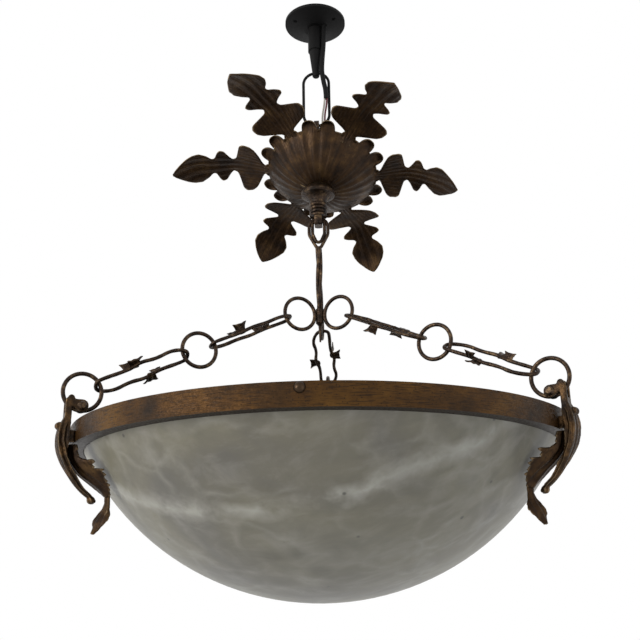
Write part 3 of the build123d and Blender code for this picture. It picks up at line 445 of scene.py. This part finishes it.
# %% [markdown]
# ## How a cast leaf is made
# A leaf is a strip along a curved spine whose width follows its outline. Rows cross the spine
# and lean towards the tip, as side veins do, so lobes point forwards. Each row is a closed
# loop over the front and back, so the leaf is one closed skin with rounded edges. The maker
# works in plain sections: a spine in a flat section, and a rule that puts a section point and
# a distance to the side in the lamp's own space.


# %% Smooth lines and leaf skins
def smooth_line(points, steps=20):
    """A curve that passes smoothly through a few points, as rows of coordinates."""
    p = np.array([2 * np.array(points[0]) - points[1], *points, 2 * np.array(points[-1]) - points[-2]])
    t = np.linspace(0, 1, steps, endpoint=False)[:, None]
    parts = []
    for a, b, c, d in zip(p, p[1:], p[2:], p[3:]):
        parts.append(
            0.5 * (2 * b + (c - a) * t + (2 * a - 5 * b + 4 * c - d) * t**2 + (3 * b - a - 3 * c + d) * t**3)
        )
    return np.vstack([*parts, p[-2:-1]])


def along(line):
    """A function that gives the place and the normal of a flat line at a length along it."""
    lengths = np.concatenate([[0], np.cumsum(np.linalg.norm(np.diff(line, axis=0), axis=1))])

    def at(s):
        inside = min(max(s, 0), lengths[-1])
        ends = [
            np.array([np.interp(q, lengths, line[:, k]) for k in (0, 1)])
            for q in (max(inside - 1, 0), inside, min(inside + 1, lengths[-1]))
        ]
        way = (ends[2] - ends[0]) / np.linalg.norm(ends[2] - ends[0])
        return ends[1] + way * (s - inside), np.array([-way[1], way[0]])

    return at


def skin(name, loops, rounds, material, uv=None, capped=True):
    """A closed mesh object through loops of points, given in mm."""
    mesh = bpy.data.meshes.new(name)
    work = bmesh.new()
    layer = work.loops.layers.uv.new("UVMap")
    rows = [[work.verts.new(Vector(p) * MM) for p in loop] for loop in loops]
    marks = {v: mark for row, marked in zip(rows, uv or loops) for v, mark in zip(row, marked)}
    pairs = list(zip(rows, rows[1:])) + ([(rows[-1], rows[0])] if rounds else [])
    for one, two in pairs:
        for k in range(len(one)):
            j = (k + 1) % len(one)
            work.faces.new((one[k], one[j], two[j], two[k]))
    if capped and not rounds:
        work.faces.new(rows[0])
        work.faces.new(rows[-1])
    for face in work.faces:
        face.smooth = True
        for corner in face.loops:
            corner[layer].uv = [m * MM for m in marks[corner.vert][:2]]
    bmesh.ops.recalc_face_normals(work, faces=work.faces)
    work.to_mesh(mesh)
    work.free()
    mesh.materials.append(material)
    obj = bpy.data.objects.new(name, mesh)
    scene.collection.objects.link(obj)
    return obj


def leaf_loops(spine, outline, put, lean=0.3, thick=1.8, camber=0.0, fan=30, rib=0.4, teeth=0.0, seed=1.0):
    """Loops of points, and their marks, for a leaf with that spine and (length, half width) outline."""
    at = along(smooth_line(spine))
    lengths, halves = np.array(outline).T
    reach = lengths[-1]
    rows = max(24, int(reach / 1.1))
    dense = np.linspace(0, reach, 400)
    width = np.interp(dense, lengths, halves)
    kernel = np.hanning(15)
    padded = np.pad(width, 7, mode="edge")
    width = np.convolve(padded, kernel / kernel.sum(), "valid")
    loops, marks = [], []
    for s in np.linspace(0, reach, rows):
        half = float(np.interp(s, dense, width))
        half *= 1 + teeth * (((s + seed) % 5.0) / 5.0 - 0.5) + 0.06 * noise.noise((s * 0.1, seed, 0))
        front, back, front_marks, back_marks = [], [], [], []
        for v in np.linspace(-1, 1, 41):
            x = v * half
            s_here = s + lean * (sqrt(x * x + 9) - 3)
            place, normal = at(s_here)
            wave = cos(fan * x / (s + 30) + 2 * noise.noise((s * 0.03, x * 0.05, seed)))
            lift = camber * (x / 20) ** 2 + rib * wave * (1 - v**4)
            lift += 1.2 * noise.noise((s * 0.035, x * 0.04, seed + 7))
            body = thick / 2 * sqrt(max(1 - v**6, 0))
            for side, points, mark in ((1, front, front_marks), (-1, back, back_marks)):
                a, b = place + normal * (lift + side * body)
                points.append(put(a, x, b))
                mark.append((x, s_here))
        loops.append(front + back[-2:0:-1])
        marks.append(front_marks + back_marks[-2:0:-1])
    return loops, marks


def replace(obj, body, *names):
    """The modelled piece stands for CAD nodes and moves with a body."""
    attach(obj, body)
    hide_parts(*names)


# %% [markdown]
# ## The canopy
# The canopy is a fluted cup with six long oak leaves. Its hole tips on the domed washer, so
# its axis passes through the middle of that ball. It leans 3.5 degrees more here than in the
# CAD model, which fits the photograph's leaf tips better. Each leaf has a narrow neck, a pair
# of round lobes, a second neck and a broad blade that droops to a point.

# %% Canopy leaves
CANOPY_TILT = 21.5  # degrees
CANOPY_LOW = 76.0  # the azimuth that it leans down towards
HOLE_RISE = 15.65  # from the ball's middle to the canopy's hole
LEAF_ROOT = 50.0  # radii and heights in the canopy's own section
CUP_EDGE = 56.0
LEAF_TOP = 35.0
LEAVES = {  # azimuth, tip radius, droop
    1: (239.0, 158.0, 26.0),
    2: (301.0, 151.0, 28.0),
    3: (2.0, 148.0, 30.0),
    4: (67.0, 150.0, 42.0),
    5: (122.0, 150.0, 42.0),
    6: (182.0, 163.0, 28.0),
}
LEAF_OUTLINE = [
    (0, 6), (8, 5), (12, 7), (14, 15), (17, 25), (21, 29.5), (27, 30.5), (31, 28), (34, 19), (37, 10),
    (41, 8), (44, 13), (47, 20), (51, 21.5), (54, 18), (57, 11), (60, 10), (64, 15), (70, 19), (77, 18.5),
    (84, 14.5), (91, 9), (96, 4), (98, 0.6),
]  # fmt: skip
canopy_axis = polar(sin(radians(CANOPY_TILT)), CANOPY_LOW, cos(radians(CANOPY_TILT)))
downhill = polar(cos(radians(CANOPY_TILT)), CANOPY_LOW, -sin(radians(CANOPY_TILT)))
level_side = canopy_axis.cross(downhill)
canopy_middle = TIP_BALL + canopy_axis * HOLE_RISE


def canopy_way(azimuth):
    """A direction in the canopy's own level."""
    turn = radians(azimuth - CANOPY_LOW)
    return downhill * cos(turn) + level_side * sin(turn)


def on_canopy(azimuth):
    """A rule that puts a section point and a distance to the side on the canopy."""
    out = canopy_way(azimuth)
    side = canopy_axis.cross(out)
    return lambda r, x, z: canopy_middle + out * r + side * x + canopy_axis * z


for number, (azimuth, tip, droop) in LEAVES.items():
    span = tip - CUP_EDGE
    spine = [(LEAF_ROOT, 24.2), (CUP_EDGE, 28.8)]
    spine += [(CUP_EDGE + span * share, height) for share, height in ((0.2, 33), (0.42, 34.5))]
    for share, drop in ((0.7, 0.28), (0.88, 0.65), (1, 1)):
        spine.append((CUP_EDGE + span * share, LEAF_TOP - droop * drop))
    scale = (tip - LEAF_ROOT) / LEAF_OUTLINE[-1][0]
    outline = [(s * scale, half) for s, half in LEAF_OUTLINE]
    put = on_canopy(azimuth)
    loops, marks = leaf_loops(
        spine, outline, put, lean=0.1, thick=1.9, camber=-1.6, fan=75, rib=0.3, seed=number * 3.7
    )
    replace(skin(f"oak_leaf_{number}", loops, False, LEAF_BRONZE, marks), "canopy", f"canopy_leaf_{number}")
print("canopy leaves:", len(LEAVES))

# %% [markdown]
# The cup is one skin turned round the canopy's axis. Its radius ripples with 28 soft flutes
# that deepen towards the rim. The rim grows into a pair of round lobes between two leaves,
# and into a short collar where a leaf springs from it.

# %% Canopy cup
CUP = ((12.5, 0.0), (34.7, 8.4), (CUP_EDGE, 28.0))  # radius and height at hole, belly and rim
FLUTES = 28
FLUTE_DEPTH = 0.95
LOBE_REACH = 11.0
LOBE_HALF = 7.6  # degrees
lobes = [(azimuth + turn, LOBE_REACH, LOBE_HALF) for azimuth, _, _ in LEAVES.values() for turn in (21, 39)]
collars = [(azimuth, 5.0, 8.0) for azimuth, _, _ in LEAVES.values()]
(r0, z0), (r1, z1), (r2, z2) = CUP
rise = (z1 - z0) / (r1 - r0)
bend = ((z2 - z0) - rise * (r2 - r0)) / ((r2 - r0) * (r2 - r1))


def rim_reach(azimuth):
    """How far the rim grows outwards on an azimuth."""
    reach = 0.8
    for middle, length, half in lobes + collars:
        off = abs((azimuth - middle + 180) % 360 - 180) / half
        if off < 1:
            reach = max(reach, length * (1 - off**2.4) ** 0.5)
    return reach


loops, marks = [], []
for step in range(360):
    put = on_canopy(step)
    outer = []
    for share in np.linspace(0, 1, 24):
        r = r0 + (r2 - r0) * share
        waver = 0.6 * noise.noise((step * 0.05, share, 0))
        flute = FLUTE_DEPTH * share * (1 - 0.3 * share) * cos(radians(step) * FLUTES + waver)
        outer.append((r, z0 + rise * (r - r0) + bend * (r - r0) * (r - r1) + flute))
    reach = rim_reach(step)
    for share in (0.12, 0.25, 0.4, 0.55, 0.7, 0.85, 1.0):
        curl = 0.5 * reach * sin(share * pi * 0.75)
        outer.append((r2 + reach * share, z2 + curl - 0.12 * reach * share**2))
    outer = np.array(outer)
    ways = np.gradient(outer, axis=0)
    ways /= np.linalg.norm(ways, axis=1)[:, None]
    wall = np.full(len(outer), 1.6)
    wall[-3:] = (1.5, 1.2, 0.5)
    inner = outer + np.column_stack([-ways[:, 1], ways[:, 0]]) * wall[:, None]
    section = [*outer, *inner[::-1]]
    loops.append([put(r, 0, z) for r, z in section])
    marks.append([(radians(step) * 40, r) for r, z in section])
replace(skin("fluted_cup", loops, True, LEAF_BRONZE, marks), "canopy", "canopy_cup")
print("cup with", FLUTES, "flutes and", len(lobes), "rim lobes")

# %% [markdown]
# ## The brackets
# Each bracket is a heavy casting: a forked stem, and below it a thick outer leaf with ribs
# along it that ends in a small ball. Its CAD solid has the right form but sharp edges, so a
# copy of it is remeshed finely, smoothed as a casting is, and pressed into ribs. The copy
# keeps the solid's place.

# %% Bracket castings
LEAF_BACK = [  # height from the band's top, and radius of the outer leaf's back edge
    (-62.5, 209.5), (-54, 220.0), (-42, 229.0), (-30, 235.6), (-17, 238.6), (-6, 237.5), (3, 233.5),
]  # fmt: skip
LEAF_HALF = [(-70, 2.1), (-56, 2.5), (-46, 4.2), (-34, 7.5), (-20, 8.5), (-7, 7.5), (4, 3.2)]
RIB_COUNT = 9
RIB_DEPTH = 0.5


def fine_copy(node, voxel):
    """A finely meshed copy of a CAD solid, with its edges softened."""
    work = bmesh.new()
    work.from_mesh(node.data)
    bmesh.ops.remove_doubles(work, verts=work.verts, dist=1e-6)
    mesh = bpy.data.meshes.new(node.name + "_fine")
    work.to_mesh(mesh)
    work.free()
    obj = bpy.data.objects.new(node.name + "_fine", mesh)
    scene.collection.objects.link(obj)
    remesh = obj.modifiers.new("fine", "REMESH")
    remesh.mode = "VOXEL"
    remesh.voxel_size = voxel * MM
    fine = bpy.data.meshes.new_from_object(obj.evaluated_get(bpy.context.evaluated_depsgraph_get()))
    obj.modifiers.clear()
    obj.data = fine
    work = bmesh.new()
    work.from_mesh(fine)
    for _ in range(2):
        bmesh.ops.smooth_vert(
            work, verts=work.verts, factor=0.5, use_axis_x=True, use_axis_y=True, use_axis_z=True
        )
    for face in work.faces:
        face.smooth = True
    return obj, work


def bracket_casting(side, azimuth):
    """The bracket's solid, softened and pressed into ribs along its outer leaf."""
    obj, work = fine_copy(nodes[f"bracket_{side}"], 0.6)
    out, across = polar(1, azimuth, 0), polar(1, azimuth + 90, 0)
    heights, backs = np.array(LEAF_BACK).T
    levels, halves = np.array(LEAF_HALF).T
    for v in work.verts:
        r, x, z = v.co.dot(out) / MM, v.co.dot(across) / MM, v.co.z / MM - BAND_TOP
        back = float(np.interp(z, heights, backs))
        if z > 3 or r < back - 16:
            continue
        half = float(np.interp(z, levels, halves))
        turn = atan2(x / half, (r - back + 5) / 5)
        fade = min(1, (3 - z) / 8) * min(1, (r - back + 16) / 6)
        move = RIB_DEPTH * fade * (cos(RIB_COUNT * turn + 0.05 * z) - 1)
        v.co += (out * cos(turn) + across * sin(turn)) * move * MM
    work.to_mesh(obj.data)
    work.free()
    obj.name = f"ribbed_bracket_{side}"
    obj.data.materials.clear()
    obj.data.materials.append(CAST_BRONZE)
    replace(obj, "lamp", f"bracket_{side}")
    return len(obj.data.polygons)


for side, azimuth in CHAINS.items():
    print("bracket", side, "has", bracket_casting(side, azimuth), "faces")

# %% [markdown]
# ## Clasp leaves and tail leaves
# From behind each bracket's leaf a toothed leaf springs out and reaches in over the bowl
# without touching it, and a pointed leaf droops from its tip. Both are cast leaves as above,
# in the upright section through the bracket.

# %% Clasp and tail leaves
CLASP_SPINE = [(226.4, -19), (225.2, -31), (218.5, -40), (208.5, -48), (200.0, -55.5), (193.6, -63)]
CLASP_OUTLINE = [
    (0, 6), (9, 7), (13, 9.5), (16, 15.5), (20, 13), (24, 11.5), (28, 14.5), (33, 13.5), (38, 11),
    (43, 10.5), (48, 7), (53, 4.2),
]  # fmt: skip
TAIL_SPINE = [(195.4, -58.5), (195.6, -66), (197.4, -72.5), (200.6, -78.5), (203.0, -85), (206.0, -91)]
TAIL_OUTLINE = [(0, 2.6), (6, 2.4), (10, 3.4), (14, 6), (18, 7.4), (22, 6.6), (26, 4.2), (30, 2.4), (33, 1)]
TWIST = {"left": -1, "right": 1, "rear": 1}  # the way that the leaves turn out of the section
CLASP_TWIST = 18.0
TAIL_TWIST = 40.0


def on_bracket(azimuth, twist):
    """A rule that puts a section point and a distance to the side beside a bracket."""
    out = polar(1, azimuth, 0)
    across = polar(1, azimuth + 90 - twist, 0)
    return lambda r, x, z: out * r + across * x + Vector((0, 0, BAND_TOP + z))


for number, (side, azimuth) in enumerate(CHAINS.items()):
    put = on_bracket(azimuth, TWIST[side] * CLASP_TWIST)
    shape = {"thick": 3.0, "camber": -13, "fan": 50, "rib": 0.55, "teeth": 0.16, "seed": number + 0.5}
    loops, marks = leaf_loops(CLASP_SPINE, CLASP_OUTLINE, put, **shape)
    replace(skin(f"toothed_leaf_{side}", loops, False, LEAF_BRONZE, marks), "lamp", f"clasp_leaf_{side}")
    put = on_bracket(azimuth, TWIST[side] * TAIL_TWIST)
    shape = {"thick": 2.0, "camber": -5, "fan": 60, "rib": 0.45, "teeth": 0.1, "seed": number + 4.5}
    loops, marks = leaf_loops(TAIL_SPINE, TAIL_OUTLINE, put, **shape)
    replace(skin(f"drooping_leaf_{side}", loops, False, LEAF_BRONZE, marks), "lamp", f"tail_leaf_{side}")
print("clasp and tail leaves:", 2 * len(CHAINS))

# %% [markdown]
# ## Chain links
# A link is a forged wire, bent to a long wavy loop, with four small ivy leaves on it. The bend
# is a smooth closed NURBS curve, and a Geometry Nodes tree sweeps a round wire along it. The
# tree lets the wire's thickness drift a little, as hammering does, with a fixed seed.


# %% A forged wire, swept by Geometry Nodes
MEAN_SWELL = 0.94  # a little thin, so that links still clear the rings where the wire swells


def forged_wire_tree():
    """A tree with named inputs: it thickens a curve to a wire that swells a little by noise."""
    tree = bpy.data.node_groups.new("forged wire", "GeometryNodeTree")
    for name, kind, way in (
        ("Curve", "NodeSocketGeometry", "INPUT"),
        ("Wire diameter", "NodeSocketFloat", "INPUT"),
        ("Hammering", "NodeSocketFloat", "INPUT"),
        ("Seed", "NodeSocketFloat", "INPUT"),
        ("Finish", "NodeSocketMaterial", "INPUT"),
        ("Wire", "NodeSocketGeometry", "OUTPUT"),
    ):
        tree.interface.new_socket(name, in_out=way, socket_type=kind)
    given = add(tree, "NodeGroupInput").outputs
    dense = add(tree, "GeometryNodeResampleCurve", Curve=given["Curve"], Count=150)
    drift = add(
        tree, "ShaderNodeTexNoise", {"noise_dimensions": "4D"}, W=given["Seed"], Scale=120.0, Detail=1.0
    )
    centred = add(tree, "ShaderNodeMath", {"operation": "SUBTRACT"}, Value=drift.outputs["Fac"])
    swell = add(tree, "ShaderNodeMath", {"operation": "MULTIPLY_ADD"}, Value=centred.outputs[0])
    tree.links.new(given["Hammering"], swell.inputs[1])
    swell.inputs[2].default_value = MEAN_SWELL
    half = add(tree, "ShaderNodeMath", {"operation": "MULTIPLY"}, Value=given["Wire diameter"])
    half.inputs[1].default_value = 0.5
    circle = add(tree, "GeometryNodeCurvePrimitiveCircle", Resolution=14, Radius=half.outputs[0])
    swept = add(
        tree,
        "GeometryNodeCurveToMesh",
        Curve=dense.outputs["Curve"],
        Profile_Curve=circle.outputs["Curve"],
        Scale=swell.outputs[0],
    )
    real = add(tree, "GeometryNodeRealizeInstances", Geometry=swept.outputs["Mesh"])
    dressed = add(
        tree, "GeometryNodeSetMaterial", Geometry=real.outputs["Geometry"], Material=given["Finish"]
    )
    add(tree, "NodeGroupOutput", Wire=dressed.outputs["Geometry"])
    return tree


FORGED_WIRE = forged_wire_tree()


def sockets_of(tree):
    """The identifier of each named input of a tree."""
    return {s.name: s.identifier for s in tree.interface.items_tree if s.in_out == "INPUT"}


def nurbs(name, points, order, closed=False):
    """A curve object of one NURBS spline with those control points, in metres."""
    data = bpy.data.curves.new(name, "CURVE")
    data.dimensions = "3D"
    spline = data.splines.new("NURBS")
    spline.points.add(len(points) - 1)
    for point, place in zip(spline.points, points):
        point.co = (*place, 1.0)
    spline.order_u = order
    spline.use_cyclic_u = closed
    spline.use_endpoint_u = not closed
    spline.resolution_u = 16
    obj = bpy.data.objects.new(name, data)
    scene.collection.objects.link(obj)
    return obj


def plain_mesh(obj):
    """The evaluated object's mesh, after which the object is gone."""
    mesh = bpy.data.meshes.new_from_object(obj.evaluated_get(bpy.context.evaluated_depsgraph_get()))
    bpy.data.objects.remove(obj)
    return mesh


def forged_wire(name, points, diameter, hammering, seed, material):
    """A closed forged wire as a plain mesh."""
    obj = nurbs(name, points, 3, True)
    modifier = obj.modifiers.new("forged wire", "NODES")
    modifier.node_group = FORGED_WIRE
    keys = sockets_of(FORGED_WIRE)
    modifier[keys["Wire diameter"]] = diameter * MM
    modifier[keys["Hammering"]] = hammering
    modifier[keys["Seed"]] = seed
    modifier[keys["Finish"]] = material
    return plain_mesh(obj)


# %% [markdown]
# A link's line runs between the middles of the two rings that it hangs in, which the frame's
# boxes give, and the link is turned about that line by its roll angle. The route is half a
# link of control points, turned by half a turn for the other half.

# %% Links with ivy leaves
WIRE = 3.6
HAMMERING = 0.35
LINK_HALF = 43.35  # from the middle to the end wire's middle
LINKS = ("upper", "lower")
RINGS = (("hub_ring", "mid_ring"), ("mid_ring", "end_ring"))  # that each link hangs in
LINK_ROLLS = {"left": (78.0, 52.0), "right": (76.0, 56.0), "rear": (90.0, 104.0)}
IVY_PLACES = {"left": ((14, 62), (9, 0)), "right": ((9, -62), (9, 0)), "rear": ((9, 0), (9, 0))}
IVY_SPINE = [(-1.5, 0), (2, 1.2), (6, 0.8), (11, -1.5)]
IVY_OUTLINE = [(0, 3.6), (3, 4.6), (6.5, 5.4), (10, 7.4)]


def joined(name, *meshes):
    """One object of several meshes, with its faces smooth."""
    work = bmesh.new()
    for mesh in meshes:
        work.from_mesh(mesh)
    for face in work.faces:
        face.smooth = True
    whole = bpy.data.meshes.new(name)
    work.to_mesh(whole)
    work.free()
    whole.materials.append(meshes[0].materials[0])
    obj = bpy.data.objects.new(name, whole)
    scene.collection.objects.link(obj)
    return obj


def link_frame(side, order):
    """The link's middle, its long direction, its wide direction and its thin one."""
    rolled = radians(LINK_ROLLS[side][order])
    rings = [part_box(f"{ring}_{side}") for ring in RINGS[order]]
    ends = [(Vector(a) + Vector(b)) / 2 / MM for a, b in rings]
    down = (ends[1] - ends[0]).normalized()
    across = polar(1, CHAINS[side] + 90, 0)
    upwards = down.cross(across)
    thin = upwards * sin(rolled) - across * cos(rolled)
    return (ends[0] + ends[1]) / 2, down, thin.cross(down), thin


def on_link(foot, down, rise, face, size):
    """A rule that puts a section point and a distance to the side on a link's ivy leaf."""
    return lambda s, x, h: foot + (down * x + rise * s + face * h) * size


def leafy_link(side, order):
    """One link: its wire and its four ivy leaves, a large and a small one on each side."""
    middle, down, wide, thin = link_frame(side, order)
    end = LINK_HALF
    half_route = [(end, 4.8), (end - 5.2, 6.8), (end * 0.3, 6.0), (end * 0.06, 10.4), (-end * 0.3, 7.8)]
    half_route += [(-end * 0.64, 11.2), (-end, 4.8)]
    route = half_route + [(-x, -y) for x, y in half_route]
    points = [(middle + down * x + wide * y) * MM for x, y in route]
    seed = order * 3.0 + CHAINS[side]
    wire = forged_wire("wire", points, WIRE, HAMMERING, seed, CHAIN_BRONZE)
    at, turned = IVY_PLACES[side][order]
    meshes = [wire]
    share = min(max((0.3 * end - at) / (0.22 * end), 0), 1)
    for flip in (1, -1):
        for shift, extra, size in ((-2, 0, 1.0), (5, 70, 0.75)):
            foot = middle + (down * (at + shift) + wide * (5.6 + 3.6 * share)) * flip
            turn = radians(turned + extra)
            rise = wide * (flip * cos(turn)) + thin * sin(turn)
            put = on_link(foot, down, rise, down.cross(rise), size)
            shape = {"lean": 0.2, "thick": 1.6, "camber": 3, "fan": 40, "rib": 0.3, "seed": at + shift * flip}
            loops, marks = leaf_loops(IVY_SPINE, IVY_OUTLINE, put, **shape)
            ivy = skin("ivy", loops, False, CHAIN_BRONZE, marks)
            meshes.append(ivy.data)
            bpy.data.objects.remove(ivy)
    node = f"{LINKS[order]}_link_{side}"
    replace(joined(f"leafy_link_{LINKS[order]}_{side}", *meshes), node, node)


for side in CHAINS:
    for order in range(len(LINKS)):
        leafy_link(side, order)
print("links:", 2 * len(CHAINS))

# %% [markdown]
# ## Flex and cores
# The flex leaves the ceiling plate beside the hook and hangs beside the oval ring, and its two
# cores come out of it and end in the terminal block. Each is a tube of one size along a smooth
# line. The line is a NURBS curve with the route's points as control points, and rings of
# vertices follow the points that the path gives for it.

# %% Flex and cores
FLEX_ROUTE = (
    (0.0102, -0.0060, 0.0),
    (0.0098, -0.0059, -0.018),
    (0.0090, -0.0058, -0.034),
    (0.0074, -0.0056, -0.051),
    (0.0066, -0.0054, -0.065),
    (0.0082, -0.0052, -0.078),
    (0.0106, -0.0050, -0.089),
    (0.0106, -0.0050, -0.099),
)
CORE_ROUTE = (
    (0.0106, -0.0050, -0.0960),
    (0.0098, -0.0052, -0.107),
    (0.0076, -0.0052, -0.118),
    (0.0075, -0.0032, -0.130),
    (0.0075, -0.0032, -0.1431),
)


def tube(name, route, diameter, material):
    """A round tube along a smooth line through a route, as a closed mesh."""
    line = plain_mesh(nurbs(name + "_line", route, 3))
    places = [v.co.copy() for v in line.vertices]
    side = Vector((1, 0, 0))
    loops, marks = [], []
    length = 0.0
    for number, place in enumerate(places):
        way = (places[min(number + 1, len(places) - 1)] - places[max(number - 1, 0)]).normalized()
        side = (side - way * side.dot(way)).normalized()
        length += (place - places[max(number - 1, 0)]).length / MM
        turns = [2 * pi * k / 16 for k in range(16)]
        other = way.cross(side)
        loops.append([(place + (side * cos(t) + other * sin(t)) * diameter / 2) / MM for t in turns])
        marks.append([(t * diameter / 2 / MM, length) for t in turns])
    return skin(name, loops, False, material, marks)


flex = tube("flex_tube", FLEX_ROUTE, 0.005, FLEX_SHEATH)
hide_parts("supply_flex")
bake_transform(flex)
for name, step, sleeve in (("core_white", -0.00125, WHITE_SLEEVE), ("core_red", 0.00125, RED_SLEEVE)):
    core = tube(name + "_tube", [(x + step, y, z) for x, y, z in CORE_ROUTE], 0.002, sleeve)
    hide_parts(name)
    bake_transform(core)
print("flex and two cores")

# %% [markdown]
# ## Light and background
# The photograph is a cut-out on white, lit by a soft daylight from the left and front. A large
# lamp on the left does most, a weak one on the right fills, and the world gives an even grey.
# The background's white is seen by the camera and in mirrors and glass only, so it adds no
# light to the stone.

# %% Light and background
scene.view_settings.view_transform = "Standard"
world = bpy.data.worlds.new("studio")
scene.world = world
world.use_nodes = True
sky = world.node_tree
sky.nodes.clear()
rays = add(sky, "ShaderNodeLightPath").outputs
seen = rays["Is Camera Ray"]
for kind in ("Is Glossy Ray", "Is Transmission Ray"):
    either = add(sky, "ShaderNodeMath", {"operation": "MAXIMUM"}, Value=seen)
    sky.links.new(rays[kind], either.inputs[1])
    seen = either.outputs["Value"]
lighting = add(sky, "ShaderNodeBackground", Color=[0.92, 0.94, 1.0, 1.0], Strength=0.5)
white = add(sky, "ShaderNodeBackground", Color=[1.0, 1.0, 1.0, 1.0], Strength=1.0)
both = add(sky, "ShaderNodeMixShader", Fac=seen)
sky.links.new(lighting.outputs["Background"], both.inputs[1])
sky.links.new(white.outputs["Background"], both.inputs[2])
add(sky, "ShaderNodeOutputWorld", Surface=both.outputs["Shader"])


def soft_lamp(name, place, target, size, power, tint):
    """A square area lamp at a place, facing a target."""
    lamp = bpy.data.objects.new(name, bpy.data.lights.new(name, "AREA"))
    lamp.data.size = size
    lamp.data.energy = power
    lamp.data.color = tint
    scene.collection.objects.link(lamp)
    ahead = (Vector(target) - Vector(place)).normalized()
    lamp.matrix_world = Matrix.Translation(place) @ ahead.to_track_quat("-Z", "Y").to_matrix().to_4x4()
    return lamp


rim_height = BAND_TOP * MM
middle = (0, 0, rim_height)
WINDOW_WATTS = 34
FILL_WATTS = 6
soft_lamp("window", (-1.7, -1.5, rim_height + 0.2), middle, 1.2, WINDOW_WATTS, (1.0, 0.98, 0.95))
soft_lamp("fill", (1.6, -1.2, rim_height - 0.3), middle, 1.4, FILL_WATTS, (0.95, 0.97, 1.0))
print("lamps: window and fill")
